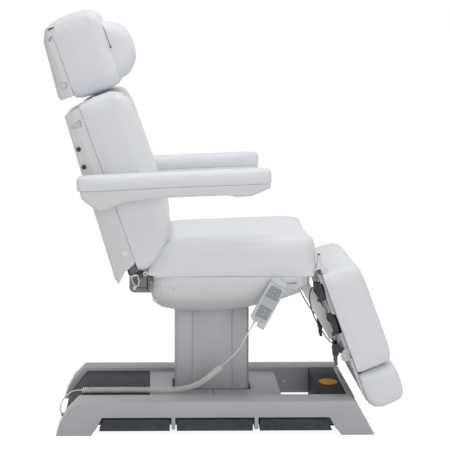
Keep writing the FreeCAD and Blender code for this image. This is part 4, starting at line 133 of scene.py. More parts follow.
def in_edit(piece, *steps):
    """Runs operators on the whole of a mesh in edit mode."""
    activate(piece)
    bpy.ops.object.mode_set(mode="EDIT")
    bpy.ops.mesh.select_all(action="SELECT")
    for step in steps:
        step()
    bpy.ops.object.mode_set(mode="OBJECT")


def outward():
    bpy.ops.mesh.normals_make_consistent(inside=False)


def merge():
    bpy.ops.mesh.remove_doubles(threshold=0.00002)


def add_modifier(piece, kind, **values):
    """Adds a modifier with its values and applies it."""
    activate(piece)
    bpy.ops.object.modifier_add(type=kind)
    modifier = piece.modifiers[-1]
    for key, value in values.items():
        setattr(modifier, key, value)
    bpy.ops.object.modifier_apply(modifier=modifier.name)


def smooth(piece, degrees=35):
    activate(piece)
    bpy.ops.object.shade_smooth_by_angle(angle=math.radians(degrees))


def lofted(name, rings):
    """A closed form: a filled outline that is extruded and reshaped from ring to ring."""
    deselect()
    bpy.ops.mesh.primitive_circle_add(vertices=len(rings[0]), radius=0.1, fill_type="NGON")
    piece = bpy.context.object
    piece.name = name
    for vertex, point in zip(piece.data.vertices, rings[0]):
        vertex.co = point
    previous = [Vector(p) for p in rings[0]]
    for ring in rings[1:]:
        bpy.ops.object.mode_set(mode="EDIT")
        bpy.ops.mesh.extrude_region_move()
        bpy.ops.object.mode_set(mode="OBJECT")
        for vertex in [v for v in piece.data.vertices if v.select]:
            gaps = [(vertex.co - p).length_squared for p in previous]
            vertex.co = ring[gaps.index(min(gaps))]
        previous = [Vector(p) for p in ring]
    in_edit(piece, outward)
    smooth(piece)
    return piece


def plate(name, outline, start, width, bevel=0.0, place=None):
    """A plate along Y from an outline in the XZ plane, with rounded edges."""
    rings = []
    for y in (start, start + width):
        points = [Vector((x, y, z)) for x, z in outline]
        rings.append([place(p) for p in points] if place else points)
    piece = lofted(name, rings)
    if bevel:
        add_modifier(piece, "BEVEL", width=bevel, segments=3, limit_method="ANGLE", angle_limit=0.6)
        smooth(piece)
    return piece


def lathe(name, profile, origin, axis):
    """A turned form: a profile of (distance along the axis, radius) spun about the axis."""
    axis = Vector(axis).normalized()
    side = axis.orthogonal().normalized()
    deselect()
    bpy.ops.mesh.primitive_circle_add(vertices=len(profile), radius=0.1, fill_type="NOTHING")
    piece = bpy.context.object
    piece.name = name
    for vertex, (along, radius) in zip(piece.data.vertices, profile):
        vertex.co = Vector(origin) + axis * along + side * max(radius, 0.00001)
    in_edit(
        piece,
        lambda: bpy.ops.mesh.spin(steps=LATHE_SIDES, angle=TURN, center=origin, axis=axis),
        merge,
        outward,
    )
    smooth(piece, 40)
    return piece


def mirrored(piece, name):
    """The left copy of a right piece, with its own mesh."""
    activate(piece)
    bpy.ops.object.duplicate()
    copy = bpy.context.object
    copy.name = name
    copy.data.transform(Matrix.Diagonal((1, -1, 1, 1)))
    in_edit(copy, outward)
    return copy


def smooth_line(name, points, resolution):
    """An open NURBS line with these control points."""
    data = bpy.data.curves.new(name, "CURVE")
    data.dimensions = "3D"
    spline = data.splines.new("NURBS")
    spline.points.add(len(points) - 1)
    for knot, point in zip(spline.points, points):
        knot.co = (*point, 1)
    spline.order_u = 3
    spline.use_endpoint_u = True
    data.resolution_u = resolution
    piece = bpy.data.objects.new(name, data)
    bpy.context.scene.collection.objects.link(piece)
    return piece


def make_round(line, thickness):
    """Gives a line a round section with closed ends."""
    line.data.bevel_depth = thickness / 2
    line.data.bevel_resolution = 2
    line.data.use_fill_caps = True


def tube(name, points, thickness):
    """A round tube along a smooth line, made a mesh."""
    piece = smooth_line(name, points, 6)
    make_round(piece, thickness)
    activate(piece)
    bpy.ops.object.convert(target="MESH")
    piece = bpy.context.object
    smooth(piece, 60)
    return piece


def line_points(name, points, resolution):
    """Points read along a smooth line with these control points."""
    line = smooth_line(name, points, resolution)
    bpy.context.view_layer.update()
    mesh = bpy.data.meshes.new_from_object(line)
    found = [v.co.copy() for v in mesh.vertices]
    bpy.data.meshes.remove(mesh)
    bpy.data.objects.remove(line)
    return found


def rounded(low, high, corner, steps, draw=0.0):
    """A rounded rectangle's outline, its sides drawn in a little between the corners."""
    (u0, v0), (u1, v1) = low, high
    r = min(corner, 0.49 * (u1 - u0), 0.49 * (v1 - v0))
    um, vm = (u0 + u1) / 2, (v0 + v1) / 2
    du, dv = draw * ((u1 - u0) / 2 - r), draw * ((v1 - v0) / 2 - r)
    turns = [(u1 - r, v0 + r), (u1 - r, v1 - r), (u0 + r, v1 - r), (u0 + r, v0 + r)]
    sides = [(u1 - dv, vm), (um, v1 - du), (u0 + dv, vm), (um, v0 + du)]
    points = []
    for i, (u, v) in enumerate(turns):
        for step in range(steps + 1):
            angle = math.pi / 2 * (i - 1 + step / steps)
            points.append((u + r * math.cos(angle), v + r * math.sin(angle)))
        points.append(sides[i])
    return points


def leaning(x, z, degrees):
    """Turns a point of a leaning part into a point of the chair."""
    c, s = math.cos(math.radians(degrees)), math.sin(math.radians(degrees))

    def place(point):
        u, y, w = point
        return Vector((x + u * c - w * s, y, z + u * s + w * c))

    return place


ON_SEAT = leaning(0, 0.5035, 2.0)
ON_BACK = leaning(-0.270, 0.487, 19.6)
ON_LEG = leaning(0.293, 0.516, 20.3)
ON_ARM = leaning(-0.378, 0.745, 2.4)
ON_HANDSET = leaning(0.176, 0.492, -28.7)


# Finishes


def add_node(tree, kind, links=(), **values):
    """A node with its settings and values; links are (input, output socket)."""
    node = tree.nodes.new(kind)
    for key, value in values.items():
        if hasattr(node, key):
            setattr(node, key, value)
        else:
            node.inputs[key.replace("_", " ")].default_value = value
    for name, socket in links:
        tree.links.new(socket, node.inputs[name])
    return node


FLOAT, COLOUR, VECTOR = "NodeSocketFloat", "NodeSocketColor", "NodeSocketVector"


def open_group(name, inputs, outputs):
    """A new node group; an input is a vector, a colour or a number, as its first value is."""
    tree = bpy.data.node_groups.new(name, "ShaderNodeTree")
    for label, value in inputs.items():
        kind = VECTOR if value is None else COLOUR if isinstance(value, tuple) else FLOAT
        socket = tree.interface.new_socket(name=label, in_out="INPUT", socket_type=kind)
        if value is not None:
            socket.default_value = value
    for label in outputs:
        kind = COLOUR if label == "Colour" else FLOAT
        tree.interface.new_socket(name=label, in_out="OUTPUT", socket_type=kind)
    start, end = tree.nodes.new("NodeGroupInput"), tree.nodes.new("NodeGroupOutput")
    return tree, start.outputs, end.inputs


def maths(tree, operation, *parts, clamp=False):
    """The result of a maths node that these sockets feed."""
    node = add_node(tree, "ShaderNodeMath", operation=operation, use_clamp=clamp)
    for place, part in enumerate(parts):
        tree.links.new(part, node.inputs[place])
    return node.outputs[0]


def mixed(tree, share, first, second):
    """Two colours mixed; the second one may be fixed."""
    node = add_node(tree, "ShaderNodeMix", data_type="RGBA")
    tree.links.new(share, node.inputs[0])
    tree.links.new(first, node.inputs[6])
    if isinstance(second, tuple):
        node.inputs[7].default_value = second
    else:
        tree.links.new(second, node.inputs[7])
    return node.outputs[2]


def noise(tree, links, **values):
    """The value of a cloudy pattern."""
    return add_node(tree, "ShaderNodeTexNoise", links, **values).outputs["Fac"]


def stretched(tree, value, low, high):
    """A value that runs from 0 to 1 between two levels."""
    node = add_node(tree, "ShaderNodeMapRange", [("Value", value)], From_Min=low, From_Max=high)
    return node.outputs[0]


def mottle_group():
    """Slow change of tone, as hands, light and age leave on a surface."""
    tree, given, out = open_group(
        "Soft mottling",
        {
            "Vector": None, "Colour": (0.5, 0.5, 0.5, 1), "Second Colour": (0.4, 0.4, 0.4, 1),
            "Scale": 4.0, "Amount": 0.3, "Roughness": 0.5, "Roughness Spread": 0.1,
        },
        ("Colour", "Roughness"),
    )
    where = [("Vector", given["Vector"]), ("Scale", given["Scale"])]
    spread = stretched(tree, noise(tree, where, Detail=4.0, Roughness=0.6), 0.35, 0.7)
    share = maths(tree, "MULTIPLY", spread, given["Amount"])
    tone = mixed(tree, share, given["Colour"], given["Second Colour"])
    tree.links.new(tone, out["Colour"])
    rough = maths(tree, "MULTIPLY_ADD", spread, given["Roughness Spread"], given["Roughness"])
    tree.links.new(rough, out["Roughness"])
    return tree


def grain_group():
    """Pebbled grain of vinyl or moulded plastic, as a height."""
    tree, given, out = open_group(
        "Pebble grain", {"Vector": None, "Scale": 900.0, "Fine": 0.4}, ("Height",)
    )
    where = [("Vector", given["Vector"]), ("Scale", given["Scale"])]
    cells = add_node(
        tree, "ShaderNodeTexVoronoi", where, feature="SMOOTH_F1", Smoothness=0.6
    ).outputs["Distance"]
    height = maths(tree, "MULTIPLY_ADD", noise(tree, where, Detail=2.0), given["Fine"], cells)
    tree.links.new(height, out["Height"])
    return tree


DUST = (0.62, 0.61, 0.59, 1)


def wear_group():
    """Edges rubbed paler or darker, and a little dust where a surface faces up."""
    tree, given, out = open_group(
        "Rubbed edges",
        {
            "Vector": None, "Colour": (0.5, 0.5, 0.5, 1), "Edge Colour": (0.8, 0.8, 0.8, 1),
            "Edge Amount": 0.3, "Dust Amount": 0.05, "Width": 0.0015,
        },
        ("Colour",),
    )
    where = [("Vector", given["Vector"])]
    soft = add_node(tree, "ShaderNodeBevel", [("Radius", given["Width"])], samples=6)
    facing_way = add_node(tree, "ShaderNodeNewGeometry").outputs["Normal"]
    dot = add_node(tree, "ShaderNodeVectorMath", operation="DOT_PRODUCT")
    tree.links.new(soft.outputs[0], dot.inputs[0])
    tree.links.new(facing_way, dot.inputs[1])
    edge = stretched(tree, dot.outputs["Value"], 0.998, 0.86)
    worn = maths(tree, "MULTIPLY", edge, noise(tree, where, Scale=120.0, Detail=3.0))
    amount = maths(tree, "MULTIPLY", worn, given["Edge Amount"], clamp=True)
    rubbed = mixed(tree, amount, given["Colour"], given["Edge Colour"])
    up = add_node(tree, "ShaderNodeSeparateXYZ", [("Vector", facing_way)])
    flat = stretched(tree, up.outputs["Z"], 0.75, 1.0)
    lying = maths(tree, "MULTIPLY", flat, noise(tree, where, Scale=14.0, Detail=6.0))
    dust = maths(tree, "MULTIPLY", lying, given["Dust Amount"], clamp=True)
    tree.links.new(mixed(tree, dust, rubbed, DUST), out["Colour"])
    return tree


def brushed_group():
    """Fine straight streaks of drawn or rolled metal."""
    tree, given, out = open_group(
        "Drawn streaks", {"Vector": None, "Across": 900.0, "Along": 12.0}, ("Height",)
    )
    stretch = add_node(tree, "ShaderNodeCombineXYZ")
    for place, label in enumerate(("Across", "Across", "Along")):
        tree.links.new(given[label], stretch.inputs[place])
    scaled = add_node(tree, "ShaderNodeVectorMath", operation="MULTIPLY")
    tree.links.new(given["Vector"], scaled.inputs[0])
    tree.links.new(stretch.outputs[0], scaled.inputs[1])
    streak = noise(tree, [("Vector", scaled.outputs[0])], Scale=1.0, Detail=3.0)
    tree.links.new(streak, out["Height"])
    return tree


GROUPS = {}


def use_group(tree, maker, links=(), **values):
    """Places a shared effect, which is built the first time."""
    if maker not in GROUPS:
        GROUPS[maker] = maker()
    node = tree.nodes.new("ShaderNodeGroup")
    node.node_tree = GROUPS[maker]
    for key, value in values.items():
        label = key.replace("_", " ")
        if label.endswith("Colour") and len(value) == 3:
            value = (*value, 1)
        node.inputs[label].default_value = value
    for label, socket in links:
        tree.links.new(socket, node.inputs[label])
    return node


def shade(colour, factor):
    """A colour made darker or lighter."""
    return tuple(min(1.0, c * factor) for c in colour)


# Finishes: colour, roughness and its spread, factor of the second tone, scale and amount of the
# mottling, grain and its depth (mm), factor of the rubbed edge, its amount, dust, width of the
# edge (mm), metal, and what else a finish has
FINISHES = {
    "white_vinyl": ("upholstery", 0.46, 0.12, 0.93, 3, 0.25, 1100, 0.12, 1.25, 0.1, 0, 1.5, 0,
                    {"sheen": 0.05}),
    "white_plastic": ("shell", 0.4, 0.1, 0.92, 5, 0.25, 1600, 0.05, 1.25, 0.2, 0.05, 2, 0, {}),
    "base_paint": ("base", 0.42, 0.14, 0.88, 3, 0.3, 1500, 0.06, 1.25, 0.35, 0.1, 3, 0, {}),
    "slate_cover": ("cover", 0.7, 0.12, 0.86, 5, 0.4, 1000, 0.15, 1.25, 0.25, 0.04, 1.5, 0,
                    {"ior": 1.35}),
    "pedal_rubber": ("pedal", 0.55, 0.15, 0.86, 9, 0.5, 900, 0.18, 2.4, 0.6, 0.1, 1.8, 0, {}),
    "column_metal": ("column", 0.42, 0.08, 0.86, 2, 0.25, 1300, 0.05, 1.25, 0.3, 0.05, 2, 0.25,
                     {"streaks": True}),
    "black_plastic": ("black", 0.42, 0.16, 0.86, 20, 0.5, 1500, 0.08, 3.5, 0.5, 0.05, 0.8, 0, {}),
    "bright_steel": ("steel", 0.24, 0.2, 0.7, 40, 0.6, 1800, 0.04, 1.25, 0.3, 0.05, 0.6, 1,
                     {"streaks": True}),
    "frame_paint": ("frame_paint", 0.45, 0.15, 0.86, 15, 0.4, 1800, 0.1, 1.25, 0.5, 0.05, 1, 0.45,
                    {}),
    "strut_paint": ("strut", 0.4, 0.1, 0.86, 9, 0.35, 1500, 0.06, 1.25, 0.4, 0.05, 1, 0, {}),
    "cream_rubber": ("cord", 0.42, 0.12, 0.88, 12, 0.4, 2500, 0.03, 1.25, 0.1, 0.02, 0.4, 0, {}),
    "handset_plastic": ("handset", 0.38, 0.1, 0.86, 14, 0.3, 2200, 0.04, 1.25, 0.25, 0.05, 1.2, 0,
                        {}),
    "key_rubber": ("keys", 0.5, 0.1, 0.86, 40, 0.5, 2600, 0.04, 1.7, 0.4, 0.05, 0.5, 0, {}),
    "lever_plastic": ("lever", 0.4, 0.12, 0.86, 25, 0.5, 1500, 0.06, 1.25, 0.5, 0.05, 1, 0, {}),
    "yellow_sticker": ("sticker", 0.6, 0.08, 0.85, 60, 0.4, 3000, 0.02, 1.25, 0.1, 0, 0.3, 0,
                       {"ior": 1.3}),
    "bracket_paint": ((124, 121, 119), 0.5, 0.15, 0.86, 30, 0.5, 1800, 0.08, 1.25, 0.4, 0.05,
                      0.8, 0.1, {}),
    "sticker_edge": ((190, 120, 20), 0.6, 0.1, 0.86, 60, 0.4, 3000, 0.02, 1.25, 0.3, 0.05, 0.3, 0,
                     {}),
    "handset_panel": ((184, 189, 195), 0.45, 0.08, 0.86, 30, 0.3, 2400, 0.04, 1.25, 0.2, 0.05,
                      0.6, 0, {}),
    # Painted shade: a purple-brown that stands for the shade at the bottom of the back shell's
    # sockets
    "socket_brown": ((112, 92, 98), 0.6, 0.1, 0.86, 60, 0.4, 1500, 0.05, 1.25, 0.3, 0.05, 0.5, 0,
                     {}),
    "red_wire": ((168, 40, 58), 0.4, 0.1, 0.86, 60, 0.4, 3000, 0.02, 1.25, 0.3, 0.05, 0.3, 0, {}),
    # Painted shade: a near-black that stands for the shade in slots, seams, holes and gaps
    "dark_gap": ((38, 36, 40), 0.8, 0.1, 0.86, 30, 0.4, 1200, 0.1, 1.25, 0.3, 0.05, 0.5, 0, {}),
}
# The record slot that a finish usually stands in
SLOTS = {
    "white_vinyl": "upholstery", "white_plastic": "shell_white", "base_paint": "base_grey",
    "slate_cover": "dark_cover", "pedal_rubber": "pedal_dark", "column_metal": "column_grey",
    "black_plastic": "black_plastic", "bright_steel": "steel", "frame_paint": "frame_paint",
    "cream_rubber": "cream_plastic", "handset_plastic": "handset_grey", "key_rubber": "keypad",
    "lever_plastic": "steel", "yellow_sticker": "dark_cover", "sticker_edge": "dark_cover",
    "bracket_paint": "frame_paint", "handset_panel": "keypad", "socket_brown": "shell_white",
    "red_wire": "cord", "dark_gap": "black_plastic",
}


def material(name):
    """A finish by its name: mottled colour, grain, rubbed edges and a little dust."""
    found = bpy.data.materials.get(name)
    if found:
        return found
    source, *numbers, extra = FINISHES[name]
    rough, spread, second, scale, amount, grain, depth, edge, worn, dust, width, metal = numbers
    colour = linear(*source) if isinstance(source, tuple) else getattr(settings()[0], source)
    made = bpy.data.materials.new(name)
    made.use_nodes = True
    tree = made.node_tree
    shader = tree.nodes["Principled BSDF"].inputs
    where = add_node(tree, "ShaderNodeTexCoord").outputs["Object"]
    tone = use_group(
        tree, mottle_group, [("Vector", where)], Colour=colour, Scale=scale, Amount=amount,
        Second_Colour=shade(colour, second), Roughness=rough, Roughness_Spread=spread,
    )
    rubbed = use_group(
        tree, wear_group, [("Vector", where), ("Colour", tone.outputs["Colour"])],
        Edge_Colour=shade(colour, edge), Edge_Amount=worn, Dust_Amount=dust, Width=width / 1000,
    )
    tree.links.new(rubbed.outputs["Colour"], shader["Base Color"])
    tree.links.new(tone.outputs["Roughness"], shader["Roughness"])
    if extra.get("streaks"):
        relief = use_group(tree, brushed_group, [("Vector", where)], Across=grain)
    else:
        relief = use_group(tree, grain_group, [("Vector", where)], Scale=grain)
    soft = add_node(tree, "ShaderNodeBevel", samples=6, Radius=width / 1000)
    bump = add_node(
        tree, "ShaderNodeBump",
        [("Height", relief.outputs["Height"]), ("Normal", soft.outputs[0])],
        Strength=0.6, Distance=depth / 1000,
    )
    tree.links.new(bump.outputs[0], shader["Normal"])
    shader["Metallic"].default_value = metal
    shader["IOR"].default_value = extra.get("ior", 1.5)
    shader["Sheen Weight"].default_value = extra.get("sheen", 0.0)
    return made


def settle(piece, body, finish_name, *nodes, slot=None):
    """Finishes a piece: its material, its body and the nodes it stands for; its record slot is
    looked up but not kept.
    """
    if piece.type == "MESH":
        activate(piece)
        bpy.ops.object.transform_apply(location=True, rotation=True, scale=True)
        piece.data.materials.clear()
    piece.data.materials.append(material(finish_name))
    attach(piece, body)
    slot or SLOTS[finish_name]
    if nodes:
        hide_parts(*nodes)
    return piece


def stuffed(piece, body, node):
    """Finishes a cushion that stands for a solid one."""
    settle(piece, body, "white_vinyl", node)


# Cushions

# A light cover with pressure inside, and the number of frames it is blown up for
CLOTH = {
    "quality": 3, "mass": 0.3, "use_pressure": True, "uniform_pressure_force": 2.5,
    "tension_stiffness": 22.0, "compression_stiffness": 22.0, "bending_stiffness": 2.0,
}
CLOTH_FRAMES = 10


def cushion(name, levels, place, cap, upright=False, cell=1.0, soften=5, wrap=0.988, board=None):
    """A stuffed cushion: lofted a little small, remeshed, swollen as cloth and smoothed.

    levels are (height, low corner, high corner, corner radius) from the board outwards. The
    form starts below its board and is cut flat on it, so that its lower edge stays crisp.
    board is a point of another flat base, which faces straight up.
    """
    rings = []
    start = levels[0][0]
    levels = [(start - 4 * settings()[1].voxel, *levels[0][1:]), *levels]
    for height, low, high, corner in levels:
        middle = ((low[0] + high[0]) / 2, (low[1] + high[1]) / 2)
        outline = rounded(low, high, corner, steps=8, draw=0.02)
        ring = []
        for u, v in outline:
            u, v = middle[0] + wrap * (u - middle[0]), middle[1] + wrap * (v - middle[1])
            ring.append(place((height, u, v)) if upright else place((u, v, height)))
        rings.append(ring)
    piece = lofted(name, rings)
    voxel = settings()[1].voxel * cell
    add_modifier(piece, "REMESH", mode="VOXEL", voxel_size=voxel)
    add_modifier(piece, "SMOOTH", factor=0.5, iterations=soften)
    foot = place((start, 0, 0) if upright else (0, 0, start))
    out = place((1, 0, 0) if upright else (0, 0, 1)) - place((0, 0, 0))
    if board:
        foot, out = Vector(board), Vector((0, 0, 1))
    cut_flat(piece, foot, out)
    held = [v.index for v in piece.data.vertices if (v.co - foot).dot(out) < voxel / 2]
    swell(piece, held, cap)
    add_modifier(piece, "SMOOTH", factor=0.5, iterations=3)
    add_modifier(piece, "SUBSURF", levels=1, render_levels=1)
    press(piece, foot, out)
    in_edit(piece, lambda: bpy.ops.mesh.fill_holes(sides=0), outward)
    activate(piece)
    bpy.ops.object.shade_smooth()
    return piece


def cut_flat(piece, foot, out, clear=True):
    """Cuts a mesh along a plane and clears away what lies below it."""
    in_edit(
        piece,
        lambda: bpy.ops.mesh.bisect(
            plane_co=foot, plane_no=out, clear_inner=clear, threshold=0.00001
        ),
        outward,
    )


def press(piece, foot, out):
    """Presses what lies below the board onto it."""
    for vertex in piece.data.vertices:
        depth = (vertex.co - foot).dot(out)
        if depth < 0:
            vertex.co -= out * depth


def swell(piece, held, cap):
    """Blows the cover up as cloth with a soft filling; no point moves further than the cap."""
    rest = [v.co.copy() for v in piece.data.vertices]
    group = piece.vertex_groups.new(name="board")
    group.add(held, 1.0, "REPLACE")
    activate(piece)
    bpy.ops.object.modifier_add(type="CLOTH")
    cloth = piece.modifiers[-1]
    for key, value in CLOTH.items():
        setattr(cloth.settings, key, value)
    cloth.settings.effector_weights.gravity = 0.0
    cloth.settings.vertex_group_mass = group.name
    cloth.collision_settings.use_collision = False
    for number in range(1, CLOTH_FRAMES + 1):
        bpy.context.scene.frame_set(number)
    bpy.ops.object.modifier_apply(modifier=cloth.name)
    bpy.context.scene.frame_set(1)
    for vertex, start in zip(piece.data.vertices, rest):
        move = vertex.co - start
        if move.length > cap:
            vertex.co = start + move * (cap / move.length)
    piece.vertex_groups.clear()


# From the board up: shares of the height, of the rear end and of the front end; half width and
# corner (mm)
SEAT_SHARES = [
    (0.0, 1.0, 0.99, 0.285, 26), (0.12, 0.995, 1.0, 0.286, 30), (0.3, 0.94, 1.0, 0.286, 34),
    (0.5, 0.865, 1.0, 0.286, 34), (0.82, 0.795, 1.0, 0.286, 34), (0.95, 0.755, 0.985, 0.281, 36),
    (1.0, 0.69, 0.94, 0.264, 40),
]
SEAT_REAR, SEAT_FRONT, SEAT_HEIGHT = -0.246, 0.291, 0.113
SEAT_BOARD = 0.5005
# The seat tilts about a line at TILT_X. Behind it the cushion's foot rises with the tilt's slope,
# to clear the tub at full tilt.
TILT_X, TILT_SLOPE, TILT_GAP, MOST_RISE = -0.215, 0.2126, 0.0015, 0.0035


class ADD_OT_seat_cushion(bpy.types.Operator):
    """Adds the seat cushion, low under the back cushion and crowned on top"""

    bl_idname = "mesh.chair_seat_cushion"
    bl_label = "Seat cushion"

    def execute(self, context):
        levels = [
            (up * SEAT_HEIGHT, (a * SEAT_REAR, -half), (b * SEAT_FRONT, half), corner / 1000)
            for up, a, b, half, corner in SEAT_SHARES
        ]
        piece = cushion("seat_cover", levels, ON_SEAT, 0.004, board=(0, 0, SEAT_BOARD))
        for vertex in piece.data.vertices:
            rise = min(MOST_RISE, TILT_GAP - TILT_SLOPE * (vertex.co.x - TILT_X))
            if rise > 0 and vertex.co.z < SEAT_BOARD + MOST_RISE + 0.001:
                vertex.co.z = max(vertex.co.z, SEAT_BOARD + rise)
        stuffed(piece, "seat", "seat_cushion")
        return {"FINISHED"}


# From the board forward: shares of the depth, of the length at the upper end and at the lower end,
# and of the half width; corner (mm)
BACK_SHARES = [
    (0.0, 0.99, 0.045, 0.985, 24), (0.1, 0.997, 0.026, 0.997, 28), (0.32, 1.0, 0.034, 1.0, 30),
    (0.55, 1.0, 0.072, 1.0, 30), (0.82, 1.0, 0.138, 1.0, 32), (0.95, 0.975, 0.19, 0.975, 34),
    (1.0, 0.925, 0.26, 0.92, 40),
]
HEAD_SHARES = [
    (0.0, 0.955, 0.035, 0.975, 34), (0.12, 0.98, 0.005, 0.99, 40), (0.32, 0.998, 0.0, 1.0, 44),
    (0.6, 1.0, 0.0, 1.0, 44), (0.82, 0.98, 0.004, 0.995, 44), (0.95, 0.935, 0.02, 0.97, 44),
    (1.0, 0.88, 0.06, 0.92, 44),
]
PILLOW_SHARES = [
    (0.0, 0.96, 0.03, 0.97, 38), (0.25, 1.0, 0.0, 1.0, 46), (0.55, 0.965, 0.035, 0.985, 50),
    (0.8, 0.86, 0.14, 0.93, 50), (0.93, 0.77, 0.24, 0.86, 42), (1.0, 0.64, 0.37, 0.74, 26),
]


def upright_levels(shares, base, depth, low, high, half):
    """Levels of a cushion that stands on a board, from the board forward."""
    return [
        (
            base + out * depth,
            (-h * half, low + a * (high - low)),
            (h * half, low + b * (high - low)),
            corner / 1000,
        )
        for out, b, a, h, corner in shares
    ]


class ADD_OT_back_cushion(bpy.types.Operator):
    """Adds the back cushion"""

    bl_idname = "mesh.chair_back_cushion"
    bl_label = "Back cushion"

    def execute(self, context):
        levels = upright_levels(BACK_SHARES, 0.0119, 0.148, 0.0, 0.584, 0.270)
        piece = cushion("back_cover", levels, ON_BACK, 0.004, upright=True)
        stuffed(piece, "back", "back_cushion")
        return {"FINISHED"}


class ADD_OT_head_cushions(bpy.types.Operator):
    """Adds the head cushion and the round pillow on it"""

    bl_idname = "mesh.chair_head_cushions"
    bl_label = "Head cushion and pillow"

    def execute(self, context):
        levels = upright_levels(HEAD_SHARES, 0.0044, 0.157, 0.589, 0.857, 0.170)
        head = cushion("head_cover", levels, ON_BACK, 0.003, upright=True, cell=0.8)
        stuffed(head, "head", "head_cushion")
        levels = upright_levels(PILLOW_SHARES, 0.140, 0.092, 0.606, 0.800, 0.156)
        pillow = cushion("pillow_cover", levels, ON_BACK, 0.003, upright=True, cell=0.8)
        stuffed(pillow, "head", "head_pillow")
        return {"FINISHED"}


LEG_MIDDLE = 0.147
LEG_SHARES = [
    (0.0, 1.0, 0.015, 0.985, 20), (0.12, 1.0, 0.0, 1.0, 26), (0.35, 1.0, 0.0, 1.0, 30),
    (0.6, 1.0, 0.0, 1.0, 32), (0.85, 0.985, 0.005, 0.995, 34), (0.96, 0.955, 0.02, 0.965, 36),
    (1.0, 0.92, 0.06, 0.91, 38),
]
FOOT_SHARES = [
    (0.0, 0.98, 0.22, 0.93, 18), (0.12, 1.0, 0.06, 0.985, 26), (0.35, 1.0, 0.0, 1.0, 32),
    (0.6, 1.0, 0.0, 1.0, 34), (0.82, 1.0, 0.02, 0.99, 36), (0.93, 0.96, 0.08, 0.95, 34),
    (1.0, 0.86, 0.24, 0.86, 34),
]
# From the shell up: share of the height, and how far the pad's sides are drawn in
ARM_PAD_SHARES = [
    (0.0, 0.0016), (0.14, 0.0), (0.5, -0.0004), (0.8, 0.0006), (0.94, 0.003), (1.0, 0.0075),
]


def both_sides(piece, name):
    """Hands out a finished right cushion and a copy of it for the left side."""
    copies = {"right": piece, "left": mirrored(piece, f"{name}_left")}
    for side in SIDES:
        copies[side].name = f"{name}_{side}"
        yield copies[side], side


class ADD_OT_leg_cushions(bpy.types.Operator):
    """Adds the two leg cushions and the two foot cushions"""

    bl_idname = "mesh.chair_leg_cushions"
    bl_label = "Leg and foot cushions"

    def execute(self, context):
        def place(point):
            return ON_LEG((point[0], point[1] - LEG_MIDDLE, point[2]))

        for label, shares, top, long, body, node in (
            ("leg_cover", LEG_SHARES, -0.014, 0.343, "leg", "leg_cushion"),
            ("foot_cover", FOOT_SHARES, -0.3585, 0.127, "foot", "foot_cushion"),
        ):
            levels = upright_levels(shares, 0.0095, 0.119, top - long, top, 0.133)
            piece = cushion(label, levels, place, 0.003, upright=True, cell=0.9)
            for copy, side in both_sides(piece, label):
                stuffed(copy, f"{body}_{side}", f"{node}_{side}")
        return {"FINISHED"}


class ADD_OT_arm_pads(bpy.types.Operator):
    """Adds the padded tops of the arm rests"""

    bl_idname = "mesh.chair_arm_pads"
    bl_label = "Arm pads"

    def execute(self, context):
        levels = [
            (0.0325 + up * 0.0445, (-0.078 + i, -0.345 + i), (0.525 - i, -0.278 - i), 0.018)
            for up, i in ARM_PAD_SHARES
        ]
        piece = cushion("arm_cover", levels, ON_ARM, 0.003, cell=0.7, soften=4, wrap=0.996)
        for copy, side in both_sides(piece, "arm_cover"):
            stuffed(copy, f"arm_{side}", f"arm_pad_{side}")
        return {"FINISHED"}


# Moulded and painted shells: the frame's own forms with their edges rounded

# Frame piece, name, body, finish, rounding of the edges, and whether it is one of a pair
SHELLS = [
    ("base_rail", "rail", "base", "base_paint", 0.0025, True),
    ("base_deck", "deck", "base", "base_paint", 0.001, False),
    ("rear_cover", "back_lid", "base", "slate_cover", 0.002, False),
    ("front_box", "toe_box", "base", "slate_cover", 0.002, False),
    ("front_end_plate", "toe_plate", "base", "base_paint", 0.002, False),
    ("outer_sleeve", "column_sleeve", "carriage", "column_metal", 0.001, False),
    ("seat_pan", "seat_tub", "carriage", "white_plastic", 0.0012, False),
    ("back_shell", "back_housing", "back", "white_plastic", 0.003, False),
    ("head_shell", "head_housing", "head", "white_plastic", 0.0015, False),
    ("arm_shell", "arm_housing", "arm", "white_plastic", 0.0025, True),
    ("handset_case", "handset_body", "carriage", "handset_plastic", 0.0015, False),
    ("pedal_rear", "rear_pedal", "rocker_rear", "pedal_rubber", 0.0015, True),
    ("pedal_middle", "middle_pedal", "rocker_middle", "pedal_rubber", 0.0015, True),
    ("pedal_front", "front_pedal", "rocker_front", "pedal_rubber", 0.0015, True),
]


def rounded_copy(node, name, edge, closed):
    """A copy of a frame piece with rounded edges; a closed one loses its hollow."""
    deselect()
    piece = bpy.data.objects.new(name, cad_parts[node].data.copy())
    bpy.context.scene.collection.objects.link(piece)
    steps = [lambda: bpy.ops.mesh.remove_doubles(threshold=0.000005)]
    if closed:
        steps.append(lambda: bpy.ops.mesh.convex_hull())
    steps.append(lambda: bpy.ops.mesh.dissolve_limited(angle_limit=0.01))
    in_edit(piece, *steps)
    add_modifier(
        piece, "BEVEL", width=edge, segments=2, limit_method="ANGLE", angle_limit=0.5,
        use_clamp_overlap=True, harden_normals=False, miter_outer="MITER_ARC",
    )
    smooth(piece, 38)
    return piece


SHELL_HALF = 0.262
# Outlines of the scooped finger recesses in the shells' sides (mm)
BACK_SCOOP = [
    (-475.7, 962.1), (-469.4, 977.6), (-456.9, 986.9), (-446.1, 991.6), (-442.1, 977.6),
    (-442.2, 968.3), (-454.0, 963.7), (-469.5, 960.6),
]
UPPER_SCOOP = [
    (-551.7, 1232.8), (-547.9, 1245.3), (-540.0, 1248.4), (-538.5, 1240.6), (-543.3, 1231.2),
    (-550.2, 1228.1),
]
LOWER_SCOOP = [
    (-519.9, 1083.6), (-514.5, 1097.7), (-505.0, 1103.4), (-492.4, 1104.0), (-490.2, 1094.6),
    (-491.9, 1083.6), (-505.1, 1078.8), (-514.6, 1078.8),
]
